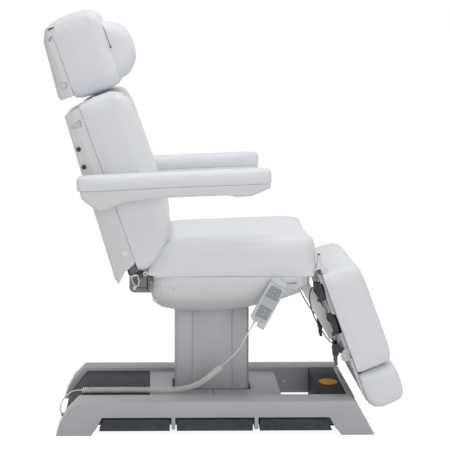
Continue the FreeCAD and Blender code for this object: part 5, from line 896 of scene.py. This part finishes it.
# Shell, half width, depth of its recesses and their outlines
SCOOPS = [
    ("back_shell", SHELL_HALF, 0.013, [BACK_SCOOP]),
    ("head_shell", 0.165, 0.010, [UPPER_SCOOP, LOWER_SCOOP]),
]
# Where the sides of the same shells start to lean inward, and how much they lean
LEAN_EDGE, LEAN_SLOPE = -0.0135, 0.45


def grown(outline, factor, slide=0.0):
    """An outline in metres, made larger or smaller about its middle."""
    x = sum(p[0] for p in outline) / len(outline)
    z = sum(p[1] for p in outline) / len(outline)
    return [
        ((x + factor * (a - x)) / 1000 + slide, (z + factor * (b - z)) / 1000) for a, b in outline
    ]


def combine(piece, other, operation):
    """Adds another solid to a piece or cuts it out, and clears it away."""
    add_modifier(piece, "BOOLEAN", operation=operation, object=other, solver="EXACT")
    bpy.data.objects.remove(other)


def scoop(piece, half, depth, outline):
    """Sinks one finger recess into both sides of a shell."""
    for side in (-1, 1):
        wall, floor = side * (half - 0.002), side * (half - depth - 0.003)
        rings = [
            [Vector((x, y, z)) for x, z in grown(outline, size)]
            for y, size in ((wall, 1.3), (floor, 1.2))
        ]
        combine(piece, lofted("scoop_backing", rings), "UNION")
        rings = [
            [Vector((x, y, z)) for x, z in grown(outline, size, slide)]
            for y, size, slide in (
                (side * (half + 0.003), 1.05, 0.0), (side * (half - 0.001), 1.0, 0.0),
                (side * (half - 0.5 * depth), 0.86, 0.001), (side * (half - depth), 0.55, 0.003),
            )
        ]
        combine(piece, lofted("scoop_cutter", rings), "DIFFERENCE")


def incline(piece, edge, slope):
    """Leans a shell's sides inward behind the line n = edge of the leaning back."""
    out = ON_BACK((-1, 0, 0)) - ON_BACK((0, 0, 0))
    foot = ON_BACK((edge, 0, 0))
    cut_flat(piece, foot, out, clear=False)
    for vertex in piece.data.vertices:
        behind = (vertex.co - foot).dot(out)
        if behind > 0 and abs(vertex.co.y) > 0.1:
            vertex.co.y -= math.copysign(slope * behind, vertex.co.y)
    smooth(piece, 20)


class ADD_OT_shells(bpy.types.Operator):
    """Rounds the edges of the base, the column, the shells and the pedals"""

    bl_idname = "mesh.chair_shells"
    bl_label = "Shells"

    def execute(self, context):
        for node, name, body, finish_name, edge, paired in SHELLS:
            for end in [f"_{side}" for side in SIDES] if paired else [""]:
                piece = rounded_copy(node + end, name + end, edge, node == "head_shell")
                for shell, half, depth, outlines in SCOOPS:
                    if shell == node:
                        for outline in outlines:
                            scoop(piece, half, depth, outline)
                        incline(piece, LEAN_EDGE, LEAN_SLOPE)
                rides = "base" if body == "base" else body + end
                settle(piece, rides, finish_name, node + end)
        return {"FINISHED"}


# Small fittings: name, outline in the side view (mm), outer face, width, rounding, body, finish,
# and the slot where it isn't the finish's own
HINGE_ROWS = [
    ("hinge_bracket", [
        (-230.5, 496), (-240, 497), (-240, 504), (-252, 506), (-255, 494), (-281.9, 489.5),
        (-292, 482), (-297, 471), (-297, 461), (-291.5, 451.4), (-282, 447.2), (-230.5, 447.2),
    ], 256, 12.2, 1.2, "seat", "bracket_paint"),
    # Painted shade in the bracket's slot
    ("hinge_slot", [
        (-242.7, 494), (-238, 494), (-237.4, 455), (-241.8, 455),
    ], 256.5, 1.2, 0.2, "seat", "dark_gap"),
    ("hinge_fold", [
        # Painted shade along the bracket's fold
        (-288, 463.5), (-244, 463.5), (-244, 462), (-288, 462),
    ], 256.5, 1.2, 0.2, "seat", "dark_gap"),
    ("hinge_lever", [
        (-291.2, 501.5), (-280, 506), (-269.3, 504.7), (-263.1, 484), (-266.2, 468.2),
        (-275.7, 464.1), (-285, 474.6), (-292.8, 493.6),
    ], 260, 4.2, 1.2, "seat", "bright_steel"),
    ("hinge_lever_dish", [
        (-286, 497), (-272, 500), (-268, 484), (-270, 472), (-275.7, 469.5), (-282, 477),
        (-288, 492),
    ], 260.6, 1.2, 0.4, "seat", "lever_plastic"),
    ("frame_end", [
        (-299, 521.4), (-277, 533.1), (-267.7, 511.9), (-285, 502.1), (-293.4, 505.6),
    ], 243.2, 17, 1.0, "back", "bracket_paint"),
    ("frame_end_edge", [
        (-303.8, 516.1), (-299, 521.4), (-293.4, 505.6), (-285, 502.1), (-267.7, 511.9),
        (-252.1, 515.4), (-250.5, 508.4), (-269.3, 501), (-285, 495.2), (-292.9, 496.9),
        (-299.1, 502.2),
    ], 242.2, 15, 0.6, "back", "black_plastic"),
]
CHEEK = [
    (347.5, 290), (357, 290), (366.5, 272), (366, 247), (361, 240), (347.5, 240), (345, 262),
]
LEG_ROWS = [
    ("hinge_cover", [
        (291.6, 572), (302.6, 571.9), (305.8, 562.4), (307.6, 540.3), (314, 529.2), (325, 522.8),
        (328.3, 511.7), (325.3, 497.4), (317.5, 489.5), (312.7, 499.1), (306.2, 519.7),
        (301.5, 521.9), (289, 516), (280.5, 510), (281, 512.5), (285.4, 519.7), (290.8, 530),
        (293, 540), (293.5, 556.1), (290.5, 567.2),
    ], 262, 20, 1.2, "leg", "white_plastic"),
    ("cover_slot", [
        # Painted shade in the hinge cover's slot
        (292.5, 565.9), (294, 569.3), (300.2, 570.3), (301.2, 566.4), (296.6, 564.9),
    ], 262.5, 1.0, 0.2, "leg", "dark_gap"),
    ("hinge_web", [
        (291, 513.4), (305.2, 518.1), (305.3, 499), (297.4, 507),
    ], 252, 8, 0.6, "leg", "lever_plastic", "frame_paint"),
    ("upper_block", [
        (284.4, 476.8), (312.2, 473.6), (316.7, 463.4), (323.5, 436.6), (325.9, 423.5),
        (323.7, 420), (304.8, 413.3), (295, 415.6), (300.3, 423.6), (293.5, 447.8),
        (287.8, 452.3), (283.6, 463.5),
    ], 246, 24, 1.4, "leg", "black_plastic"),
    ("upper_block_lid", [
        (294, 470), (309, 468), (317, 436), (305, 430.5),
    ], 247, 1.6, 0.5, "leg", "black_plastic"),
    ("lower_block", [
        (324.1, 375), (354.1, 375.5), (358.6, 364.9), (375.6, 317.8), (374.6, 314.3),
        (352.6, 306.7), (348.2, 303.2), (343.1, 305.4), (343.7, 312.2), (349, 315.7),
        (338.9, 344.8), (330, 351.6), (324.9, 359.3), (326.4, 367.3),
    ], 246, 24, 1.4, "leg", "black_plastic"),
    ("lower_block_lid", [
        (332, 369), (351, 369), (367, 321), (354, 317.5),
    ], 247, 1.6, 0.5, "leg", "black_plastic"),
    ("lever_cheek_outer", CHEEK, 246, 4.6, 0.8, "leg", "black_plastic"),
    ("lever_cheek_inner", CHEEK, 226.6, 4.6, 0.8, "leg", "black_plastic"),
    ("lever_crown", [
        (348, 290), (356, 291), (362, 282), (360, 279), (347, 279),
    ], 246, 24, 0.8, "leg", "black_plastic"),
    ("lever_latch", [
        (366, 277), (370, 268), (388.3, 257), (384, 249.2), (369, 250), (365.5, 258),
    ], 245, 22, 0.8, "leg", "black_plastic"),
    ("knee_lug", [
        (398, 272), (386, 267), (376, 256), (371, 241.1), (374, 229), (383, 222.5), (392, 224),
        (401.2, 232),
    ], 250, 6, 0.8, "leg", "frame_paint"),
]
# Wires and rods of the leg gear: points (x, y, z in mm), thickness and finish
LEG_LINES = [
    ("hinge_wire", [(294, 238, 508), (292.1, 236, 499.1), (290.8, 234, 473)], 2.6,
     "bright_steel"),
    ("gear_link", [(322.4, 234, 423), (328, 234, 410), (332, 234, 397)], 2.6, "black_plastic"),
    ("gear_link_end", [(331.6, 234, 399), (332, 234, 388), (333, 234, 373)], 3.4,
     "bright_steel"),
    ("gear_rod_end", [(352.4, 234, 308), (353, 234, 296), (353, 234, 286)], 4.0, "bright_steel"),
    ("gear_cable", [
        (291, 238, 463.4), (279.8, 246, 461.9), (272, 248, 449.2), (270, 248, 426.8),
        (275.6, 248, 394.9), (290.1, 248, 356.5), (311, 248, 321.2), (333.5, 247, 288),
        (349, 240, 280),
    ], 3.8, "black_plastic"),
    ("hinge_lead", [
        (280, 240, 488), (287, 240, 490.3), (298, 240, 490.3), (309.6, 238, 487.6),
    ], 1.6, "red_wire"),
]
# Marks on the pedals: rider, and lines in the side view (mm)
PEDAL_MARKS = [
    ("rear", [(-354.8, 22.7), (-345.7, 30.7), (-336.7, 22.6)]),
    ("rear", [(-314, 29.5), (-304.6, 25.1), (-285, 23.5), (-260.7, 22.8)]),
    ("rear", [(-237.2, 31.2), (-228.4, 23.1), (-219.3, 31.1)]),
    ("middle", [(-94.3, 22.6), (-84.9, 30.9), (-75.4, 22.5)]),
    ("middle", [(-53.4, 24.3), (-30, 23.8), (-6.3, 24.3)]),
    ("middle", [(22, 30.1), (31.4, 22), (40.8, 30)]),
    ("front", [(166.7, 21.5), (176.1, 29.8), (185.6, 21.4)]),
    ("front", [(204.5, 22.6), (229.7, 21.9), (235.9, 27), (245, 27.5), (258, 21.8)]),
    ("front", [(280, 29), (291.1, 21), (302, 29)]),
]


def box_outline(low, high, base, top):
    """A rectangle in the side view."""
    return [(low, base), (high, base), (high, top), (low, top)]


def facing(side):
    """Minus one on the right side of the chair, one on the left."""
    return -1 if side == "right" else 1


def fitting(row, side):
    """One small plate of a table on one side of the chair."""
    name, outline, face, width, edge, body, finish_name, *slot = row
    start = -face if side == "right" else face - width
    points = [(x / 1000, z / 1000) for x, z in outline]
    piece = plate(f"{name}_{side}", points, start / 1000, width / 1000, edge / 1000)
    rides = f"{body}_{side}" if body == "leg" else body
    return settle(piece, rides, finish_name, slot=slot[0] if slot else None)


def stud(name, body, place, axis, profile, finish_name, slot=None):
    """A small turned piece: a screw, a ring or a cap."""
    piece = lathe(name, [(a / 1000, r / 1000) for a, r in profile], Vector(place) / 1000, axis)
    return settle(piece, body, finish_name, slot=slot)


# Profiles of the turned pieces: distance along the axis and radius (mm)
BOLT = [(-1, 0), (-1, 6), (1.6, 6), (2.2, 5), (2.2, 2.6), (1.2, 2.2), (1.2, 0)]
KNEE_BOLT = [(-1, 0), (-1, 6.2), (1.2, 6.2), (1.8, 5.4), (1.8, 3.4), (0.9, 3), (0.9, 0)]
RING = [(-10, 3), (-10, 6.4), (4.6, 6.4), (5.6, 5.4), (5.6, 3.4), (4.8, 3), (-10, 3)]
RING_CORE = [(-10, 0), (-10, 3.1), (3.4, 3.1), (3.4, 0)]
PAN_SCREW = [(-1.5, 0), (-1.5, 6.5), (0.8, 6.5), (2.6, 4.5), (2.6, 0)]
DOME = [(-1.5, 0), (-1.5, 4.5), (0.6, 4.5), (1.8, 3.6), (2.4, 1.8), (2.4, 0)]
SOCKET_RING = [
    (-7, 6.2), (-7, 7.2), (-0.6, 7.2), (-0.6, 9.4), (0.5, 9.4), (1.0, 8.6), (1.0, 6.8), (0.4, 6.2),
    (-7, 6.2),
]
SOCKET_FLOOR = [(-8, 0), (-8, 7.4), (-6.6, 7.4), (-6.6, 0)]
PULLER = [(-3, 0), (-3, 3.2), (1.4, 3.2), (2.2, 2), (2.2, 0)]
# The back shell's two sockets: place on the leaning back and depth in the shell (mm)
SOCKETS = [(-34.5, 448.6, 9.4), (-38, 390.8, 11.0)]


class ADD_OT_hinge_fittings(bpy.types.Operator):
    """Adds the back hinge's brackets, levers, rings and screws, and the shells' sockets"""

    bl_idname = "mesh.chair_hinge_fittings"
    bl_label = "Hinge fittings"

    def execute(self, context):
        for side in SIDES:
            way = facing(side)
            axis = (0, way, 0)
            for row in HINGE_ROWS:
                fitting(row, side)
            ring = (-246.7, way * 256, 507)
            for name, body, place, way_out, profile, finish_name in (
                ("hinge_bolt", "seat", (-280.4, way * 256, 461), axis, BOLT, "bright_steel"),
                ("hinge_ring", "seat", ring, axis, RING, "cream_rubber"),
                # Painted shade: a dark core for the hole in the hinge ring
                ("hinge_core", "seat", ring, axis, RING_CORE, "dark_gap"),
                ("pan_screw", "carriage", (-228, way * 236, 476), (-1, 0, 0), PAN_SCREW,
                 "cream_rubber"),
            ):
                stud(f"{name}_{side}", body, place, way_out, profile, finish_name)
            for number, (n, u, shift) in enumerate(SOCKETS):
                spot = ON_BACK((n / 1000, way * (SHELL_HALF - shift / 1000), u / 1000)) * 1000
                end = f"{number}_{side}"
                # Painted shade: the sockets' steel rings take the darker bracket paint, for the
                # shade in the recess
                stud(f"socket_ring_{end}", "back", spot, axis, SOCKET_RING, "bracket_paint",
                     "steel")
                # Painted shade: a purple-brown floor deep in each socket
                stud(f"socket_floor_{end}", "back", spot, axis, SOCKET_FLOOR, "socket_brown")
        return {"FINISHED"}


class ADD_OT_leg_gear(bpy.types.Operator):
    """Adds the leg hinges' covers, the release gear's blocks, rods, cables and levers' housings"""

    bl_idname = "mesh.chair_leg_gear"
    bl_label = "Leg gear"

    def execute(self, context):
        for side in SIDES:
            way = facing(side)
            for row in LEG_ROWS:
                piece = fitting(row, side)
                if row[0].endswith("block"):
                    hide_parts(f"release_gear_{side}")
            for name, points, thick, finish_name in LEG_LINES:
                route = [Vector((x, way * y, z)) / 1000 for x, y, z in points]
                piece = tube(f"{name}_{side}", route, thick / 1000)
                settle(piece, f"leg_{side}", finish_name)
            stud(f"knee_bolt_{side}", f"leg_{side}", (385, way * 250, 239), (0, way, 0),
                 KNEE_BOLT, "bright_steel")
        return {"FINISHED"}


# The handset's front, where its two blocks of keys start, their columns and their pitch
HANDSET_FACE = -0.307
KEY_BLOCKS, KEY_COLUMNS, KEY_PITCH = (0.032, 0.1), (0.0101, -0.0101), 0.0136
# Layers of one key: half width, half height, distance before the front, thickness, edge, finish
KEY_LAYERS = {
    "": (0.0094, 0.0050, 0.0007, 0.0008, 0.0003, "key_rubber"),
    "_face": (0.0074, 0.0029, 0.0014, 0.0005, 0.0001, "handset_panel"),
    "_mark": (0.0036, 0.0007, 0.0018, 0.0002, 0.0, "key_rubber"),
}
# The tub's rim beside the seat: where its lips start and end, and their height
PAN_LIPS, LIP_BASE, LIP_TOP = ((-0.218, -0.168), (0.083, 0.127)), 0.4972, 0.4998


class ADD_OT_handset_keys(bpy.types.Operator):
    """Adds the handset's panel and keys, the tub's lips and painted shade along the edges of the
    handset's hanger
    """

    bl_idname = "mesh.chair_handset_keys"
    bl_label = "Handset keys"

    def execute(self, context):
        def bar(name, middle, long, high, ahead, rise, edge, finish_name, slot=None):
            low = (middle[0] - long, middle[1] - high)
            top = (middle[0] + long, middle[1] + high)
            outline = rounded(low, top, min(long, high) * 0.98, 4)
            start = HANDSET_FACE - ahead - rise
            piece = plate(name, outline, start, rise, edge, ON_HANDSET)
            return settle(piece, "carriage", finish_name, slot=slot)

        panel = bar("key_panel", (0, -0.083), 0.0225, 0.0635, -0.0002, 0.0010, 0.0003,
                    "handset_panel", "handset_grey")
        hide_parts("handset_keypad")
        for block, start in enumerate(KEY_BLOCKS):
            for row in range(3):
                for side, x in zip(SIDES, KEY_COLUMNS):
                    for layer, values in KEY_LAYERS.items():
                        bar(f"key_{block}_{row}_{side}{layer}", (x, -start - KEY_PITCH * row),
                            *values)
        bar("handset_cap_line", (0, -0.0165), 0.0245, 0.0004, -0.0002, 0.0005, 0.0, "key_rubber",
            "handset_grey")
        for number, (low, high) in enumerate(PAN_LIPS):
            outline = box_outline(low, high, LIP_BASE, LIP_TOP)
            for side, start in zip(SIDES, (-0.2824, 0.2796)):
                piece = plate(f"pan_lip_{number}_{side}", outline, start, 0.0028, 0.0008)
                settle(piece, "carriage", "white_plastic")
        # Painted shade: two dark bars along the hanger's top and bottom edges
        for number, z in enumerate((0.4795, 0.4620)):
            outline = box_outline(0.206, 0.227, z - 0.001, z + 0.001)
            piece = plate(f"hook_edge_{number}", outline, -0.2836, 0.0016, 0.0003)
            settle(piece, "carriage", "lever_plastic")
        return {"FINISHED"}


# The sticker's middle and half axes on the deck, and its height above the base
STICKER_X, STICKER_Y, STICKER_WIDE, STICKER_LONG = 0.3564, -0.0206, 0.031, 0.046
STICKER_BASE, STICKER_TOP = 0.1058, 0.1068
# Painted shade on the deck, in its seam and in the foot's gaps: name, low corner and high corner
DECK_LINES = [
    ("deck_seam", (-0.0272, -0.196), (-0.0260, -0.078)),
    ("foot_gap_front", (-0.1545, -0.0815), (0.0935, -0.0785)),
    ("foot_gap_rear", (-0.1545, 0.0785), (0.0935, 0.0815)),
    ("foot_gap_tail", (-0.1560, -0.0815), (-0.1530, 0.0815)),
    ("foot_gap_toe", (0.0920, -0.0815), (0.0950, 0.0815)),
]
LINE_BASE, LINE_TOP = 0.0962, 0.0973


class ADD_OT_base_details(bpy.types.Operator):
    """Adds the bare sticker, painted shade in the deck's seam and gaps, the screws and the pedals'
    marks
    """

    bl_idname = "mesh.chair_base_details"
    bl_label = "Base details"

    def execute(self, context):
        for name, size, height, finish_name in (
            ("sticker_rim", 1.0, 0.0004, "sticker_edge"),
            ("sticker", 0.93, 0.0007, "yellow_sticker"),
        ):
            wide, long = size * STICKER_WIDE, size * STICKER_LONG
            oval = [
                (STICKER_X + wide * math.cos(t), STICKER_Y + long * math.sin(t))
                for t in (TURN * i / 48 for i in range(48))
            ]
            heights = (STICKER_BASE, STICKER_TOP + height)
            rings = [[Vector((x, y, z)) for x, y in oval] for z in heights]
            settle(lofted(name, rings), "base", finish_name)
        # Painted shade: dark strips in the deck's seam and gaps
        for name, low, high in DECK_LINES:
            outline = box_outline(low[0], high[0], LINE_BASE, LINE_TOP)
            piece = plate(name, outline, low[1], high[1] - low[1])
            settle(piece, "base", "dark_gap", slot="base_grey")
        for side in SIDES:
            way = facing(side)
            for number, (rider, line) in enumerate(PEDAL_MARKS):
                up = [(x / 1000, z / 1000 + 0.0008) for x, z in line]
                down = [(x / 1000, z / 1000 - 0.0008) for x, z in reversed(line)]
                start = -0.2965 if side == "right" else 0.2955
                piece = plate(f"pedal_mark_{number}_{side}", up + down, start, 0.001)
                settle(piece, f"rocker_{rider}_{side}", "black_plastic", slot="pedal_dark")
            stud(f"well_screw_{side}", "base", (228, way * 200, 60), (0, -way, 0), DOME,
                 "bright_steel", "base_grey")
        return {"FINISHED"}


# The seam on the leaning back, from the top, and the slot in the head shell (mm), both given
# painted shade
PILLOW_SEAM = [(0.1635, 0.783), (0.1640, 0.750), (0.1640, 0.716)]
SHELL_VENT = [(-554, 1264), (-547.7, 1271.5), (-533, 1277), (-532, 1273)]


class ADD_OT_pillow_seam(bpy.types.Operator):
    """Adds painted shade along the pillow's fastening seam, the seam's puller, and painted shade in
    the head shell's slots
    """

    bl_idname = "mesh.chair_pillow_seam"
    bl_label = "Pillow seam"

    def execute(self, context):
        for side in SIDES:
            way = facing(side)
            # Painted shade: a dark line along the pillow's seam
            route = [ON_BACK((n, way * 0.1535, u)) for n, u in PILLOW_SEAM]
            seam = tube(f"pillow_seam_{side}", route, 0.0016)
            settle(seam, "head", "dark_gap", slot="upholstery")
            spot = ON_BACK((0.1640, way * 0.1525, 0.713)) * 1000
            stud(f"pillow_puller_{side}", "head", spot, (0, way, 0), PULLER, "lever_plastic")
            # Painted shade in the head shell's slot
            vent = ("shell_vent", SHELL_VENT, 165.3, 1.2, 0.2, "head", "dark_gap", "shell_white")
            fitting(vent, side)
        return {"FINISHED"}


# Stage

WHITE = (1, 1, 1, 1)
# The camera fitted to the photograph: its place, how far it looks down and to the right, its lens
CAMERA_PLACE, LOOKS_DOWN, LOOKS_RIGHT = (-0.2167, -5.1977, 1.2930), 0.0990, 0.0160
LENS, SENSOR, SHIFT = 127.46, 36, 0.1
# Name, place, size and power of each lamp, and the height that they aim at
AIM = Vector((0, 0, 0.6))
LAMPS = [
    ("top_lamp", (0.3, -0.4, 4.2), 3.2, 62),
    ("front_lamp", (1.2, -4.4, 2.0), 2.6, 40),
    ("side_lamp", (-3.2, -2.0, 2.4), 2.0, 6),
]


def rays(tree, *kinds):
    """One for these kinds of ray and nought for the others."""
    path = add_node(tree, "ShaderNodeLightPath")
    found = path.outputs[kinds[0]]
    for kind in kinds[1:]:
        found = maths(tree, "MAXIMUM", found, path.outputs[kind])
    return found


def show_mix(tree, output, *parts):
    """Sends a share of two shaders to the output."""
    mix = add_node(tree, "ShaderNodeMixShader")
    for place, part in enumerate(parts):
        tree.links.new(part, mix.inputs[place])
    tree.links.new(mix.outputs[0], tree.nodes[output].inputs["Surface"])


class ADD_OT_stage(bpy.types.Operator):
    """Adds the floor, the lamps and the camera at the photograph's angle"""

    bl_idname = "mesh.chair_stage"
    bl_label = "Stage"

    def execute(self, context):
        scene = context.scene
        scene.view_settings.view_transform = "Standard"
        camera = bpy.data.objects.new("view_camera", bpy.data.cameras.new("view_camera"))
        scene.collection.objects.link(camera)
        camera.location = CAMERA_PLACE
        camera.rotation_euler = (math.pi / 2 - LOOKS_DOWN, 0, -LOOKS_RIGHT)
        camera.data.lens = LENS
        camera.data.sensor_width = SENSOR
        camera.data.shift_x = SHIFT
        camera.data.shift_y = -SHIFT
        camera.data.clip_end = 200
        scene.camera = camera
        self.floor(scene)
        self.lamps(scene)
        return {"FINISHED"}

    def floor(self, scene):
        deselect()
        bpy.ops.mesh.primitive_plane_add(size=400, location=(0, 60, 0))
        floor = bpy.context.object
        floor.name = "stage_floor"
        in_edit(floor, lambda: bpy.ops.mesh.subdivide(number_cuts=3))
        pale = bpy.data.materials.new("pale_floor")
        pale.use_nodes = True
        tree = pale.node_tree
        tree.nodes.remove(tree.nodes["Principled BSDF"])
        diffuse = add_node(tree, "ShaderNodeBsdfDiffuse", Color=(*settings()[0].floor, 1))
        faint = add_node(tree, "ShaderNodeBsdfDiffuse", Color=(0.2, 0.2, 0.2, 1))
        glow = add_node(tree, "ShaderNodeEmission", Color=WHITE, Strength=0.93)
        white = add_node(tree, "ShaderNodeAddShader")
        tree.links.new(faint.outputs[0], white.inputs[0])
        tree.links.new(glow.outputs[0], white.inputs[1])
        seen = rays(tree, "Is Camera Ray", "Is Glossy Ray")
        show_mix(tree, "Material Output", seen, diffuse.outputs[0], white.outputs[0])
        floor.data.materials.append(pale)

    def lamps(self, scene):
        world = bpy.data.worlds.new("studio")
        scene.world = world
        world.use_nodes = True
        tree = world.node_tree
        base = tree.nodes["Background"]
        base.inputs["Color"].default_value = WHITE
        base.inputs["Strength"].default_value = 0.42
        white = add_node(tree, "ShaderNodeBackground", Color=WHITE, Strength=1.0)
        seen = rays(tree, "Is Camera Ray", "Is Glossy Ray", "Is Transmission Ray")
        show_mix(tree, "World Output", seen, base.outputs[0], white.outputs[0])
        for name, place, size, power in LAMPS:
            light = bpy.data.lights.new(name, "AREA")
            light.shape = "DISK"
            light.size = size
            light.energy = power
            lamp = bpy.data.objects.new(name, light)
            lamp.location = place
            lamp.rotation_euler = (AIM - Vector(place)).to_track_quat("-Z", "Y").to_euler()
            scene.collection.objects.link(lamp)


# Cord

CORD_LEAD = [
    (0.052, -0.262, 0.2705), (0.030, -0.231, 0.238), (0.011, -0.207, 0.2145),
]
CORD_COIL = [
    (-0.006, -0.181, 0.193), (-0.030, -0.166, 0.168), (-0.062, -0.152, 0.138),
    (-0.108, -0.142, 0.115), (-0.168, -0.136, 0.1076), (-0.240, -0.133, 0.1076),
    (-0.320, -0.132, 0.1076), (-0.395, -0.133, 0.1076), (-0.455, -0.135, 0.108),
]
CORD_TAIL = [
    (-0.477, -0.136, 0.108), (-0.499, -0.1395, 0.096), (-0.517, -0.1435, 0.075),
    (-0.5245, -0.1475, 0.050), (-0.5159, -0.150, 0.026),
]
# Points in one turn of the helix
TURN_STEPS = 14
# The strain relief's direction, its ribs and their pitch
BOOT_WAY, BOOT_RIBS, RIB_PITCH = (-0.480, 0.0, -0.877), 4, 0.0045


def nearest(points, target):
    """Index of the point that lies nearest to a place."""
    gaps = [(p - Vector(target)).length for p in points]
    return gaps.index(min(gaps))


def curly_line(points, first, last, turns, radius):
    """The line of a cord whose middle length winds round the route in a helix."""
    route = points[first:last + 1]
    along = [0.0]
    for a, b in zip(route, route[1:]):
        along.append(along[-1] + (b - a).length)
    total = along[-1]
    out = points[:first]
    side = None
    count = turns * TURN_STEPS
    i = 0
    for k in range(count + 1):
        distance = total * k / count
        while i < len(route) - 2 and along[i + 1] < distance:
            i += 1
        share = (distance - along[i]) / (along[i + 1] - along[i])
        centre = route[i].lerp(route[i + 1], share)
        way = (route[i + 1] - route[i]).normalized()
        if side is None:
            side = way.cross(Vector((0, 0, 1))).normalized()
        side = (side - way * side.dot(way)).normalized()
        up = way.cross(side)
        end = min(k, count - k) / TURN_STEPS
        opening = 0.5 - 0.5 * math.cos(math.pi * min(end / 0.8, 1.0))
        angle = TURN * k / TURN_STEPS
        out.append(centre + (side * math.cos(angle) + up * math.sin(angle)) * radius * opening)
    return out + points[last + 1:]


class ADD_OT_cord(bpy.types.Operator):
    """Adds the handset's curly cord and its tapered strain relief"""

    bl_idname = "mesh.chair_cord"
    bl_label = "Handset cord"

    def execute(self, context):
        sizes = settings()[1]
        low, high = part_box("cord_boot")
        way = Vector(BOOT_WAY).normalized()
        middle = (low + high) / 2
        start, tip = middle - way * 0.0105, middle + way * 0.0115
        onward = tip + way * 0.040
        points = line_points("cord_route", [tip, onward, *CORD_LEAD, *CORD_COIL, *CORD_TAIL], 24)
        first, last = nearest(points, CORD_COIL[0]), nearest(points, CORD_COIL[-1])
        radius = (sizes.coil_width - sizes.cord_thickness) / 2
        line = curly_line(points, first, last, sizes.curls, radius)
        piece = smooth_line("curly_cord", line, 2)
        make_round(piece, sizes.cord_thickness)
        long = sum((b - a).length for a, b in zip(line, line[1:]))
        settle(piece, "base", "cream_rubber", "handset_cord", slot="cord")
        profile = [(0, 0), (0, 0.0050), (0.002, 0.0053)]
        for i in range(BOOT_RIBS):
            at, size = 0.0035 + RIB_PITCH * i, 0.0049 - 0.0006 * i
            profile += [(at, size), (at + 0.0006, size - 0.0009), (at + 0.0026, size - 0.0010)]
            profile += [(at + 0.0032, size - 0.0001)]
        profile += [(0.0235, 0.0029), (0.0245, 0.0024), (0.0245, 0)]
        boot = lathe("cord_relief", profile, start - way * 0.001, way)
        settle(boot, "carriage", "cream_rubber", "cord_boot", slot="cord")
        tuple(tip)
        return {"FINISHED"}


# Finishes on the frame's own pieces

# Finish, and how the names of its pieces start
NODE_FINISHES = {
    "base_paint": "base_rail base_deck front_end_plate chassis",
    "slate_cover": "rear_cover front_box",
    "pedal_rubber": "pedal",
    "black_plastic": "rear_sockets lift_motor tilt_motor recline_motor release_gear",
    "column_metal": "inner_column middle_sleeve outer_sleeve",
    "bright_steel": "lift_rod tilt_rod recline_rod head_bars strut_rod",
    "frame_paint": "lift_head seat_frame back_frame leg_frame handset_hook",
    "white_plastic": "seat_pan back_shell head_shell arm_shell foot_panel",
    "cream_rubber": "back_caps",
    "strut_paint": "strut_tube",
    "lever_plastic": "release_lever",
    "handset_plastic": "handset_case",
    "key_rubber": "handset_keypad",
    "white_vinyl": "arm_pad leg_cushion foot_cushion",
}


class ADD_OT_frame_finishes(bpy.types.Operator):
    """Gives the frame's own pieces their finishes"""

    bl_idname = "mesh.chair_frame_finishes"
    bl_label = "Frame finishes"

    def execute(self, context):
        for finish_name, starts in NODE_FINISHES.items():
            for name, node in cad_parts.items():
                if name.startswith(tuple(starts.split())):
                    if not node.material_slots:
                        node.data.materials.append(material(finish_name))
                    for held in node.material_slots:
                        held.material = material(finish_name)
        return {"FINISHED"}


class VIEW3D_PT_chair(bpy.types.Panel):
    """The chair's tools in the sidebar"""

    bl_label = "Podiatry chair"
    bl_space_type = "VIEW_3D"
    bl_region_type = "UI"
    bl_category = "Chair"

    def draw(self, context):
        for tool in TOOLS:
            self.layout.operator(tool.bl_idname)


TOOLS = (
    ADD_OT_stage,
    ADD_OT_cord,
    ADD_OT_frame_finishes,
    ADD_OT_seat_cushion,
    ADD_OT_back_cushion,
    ADD_OT_head_cushions,
    ADD_OT_leg_cushions,
    ADD_OT_arm_pads,
    ADD_OT_shells,
    ADD_OT_hinge_fittings,
    ADD_OT_leg_gear,
    ADD_OT_handset_keys,
    ADD_OT_base_details,
    ADD_OT_pillow_seam,
)
CLASSES = (ChairColours, ChairSizes, *TOOLS, VIEW3D_PT_chair)


def register():
    for cls in CLASSES:
        bpy.utils.register_class(cls)
    bpy.types.Scene.chair_colours = PointerProperty(type=ChairColours)
    bpy.types.Scene.chair_sizes = PointerProperty(type=ChairSizes)


def unregister():
    del bpy.types.Scene.chair_sizes
    del bpy.types.Scene.chair_colours
    for cls in reversed(CLASSES):
        bpy.utils.unregister_class(cls)


def run(tool):
    """Calls one of the tools by its id."""
    group, name = tool.bl_idname.split(".")
    if getattr(getattr(bpy.ops, group), name)() != {"FINISHED"}:
        raise RuntimeError(f"{tool.bl_label} did not finish")


def main():
    register()
    for tool in TOOLS:
        run(tool)


if __name__ == "__main__":
    main()
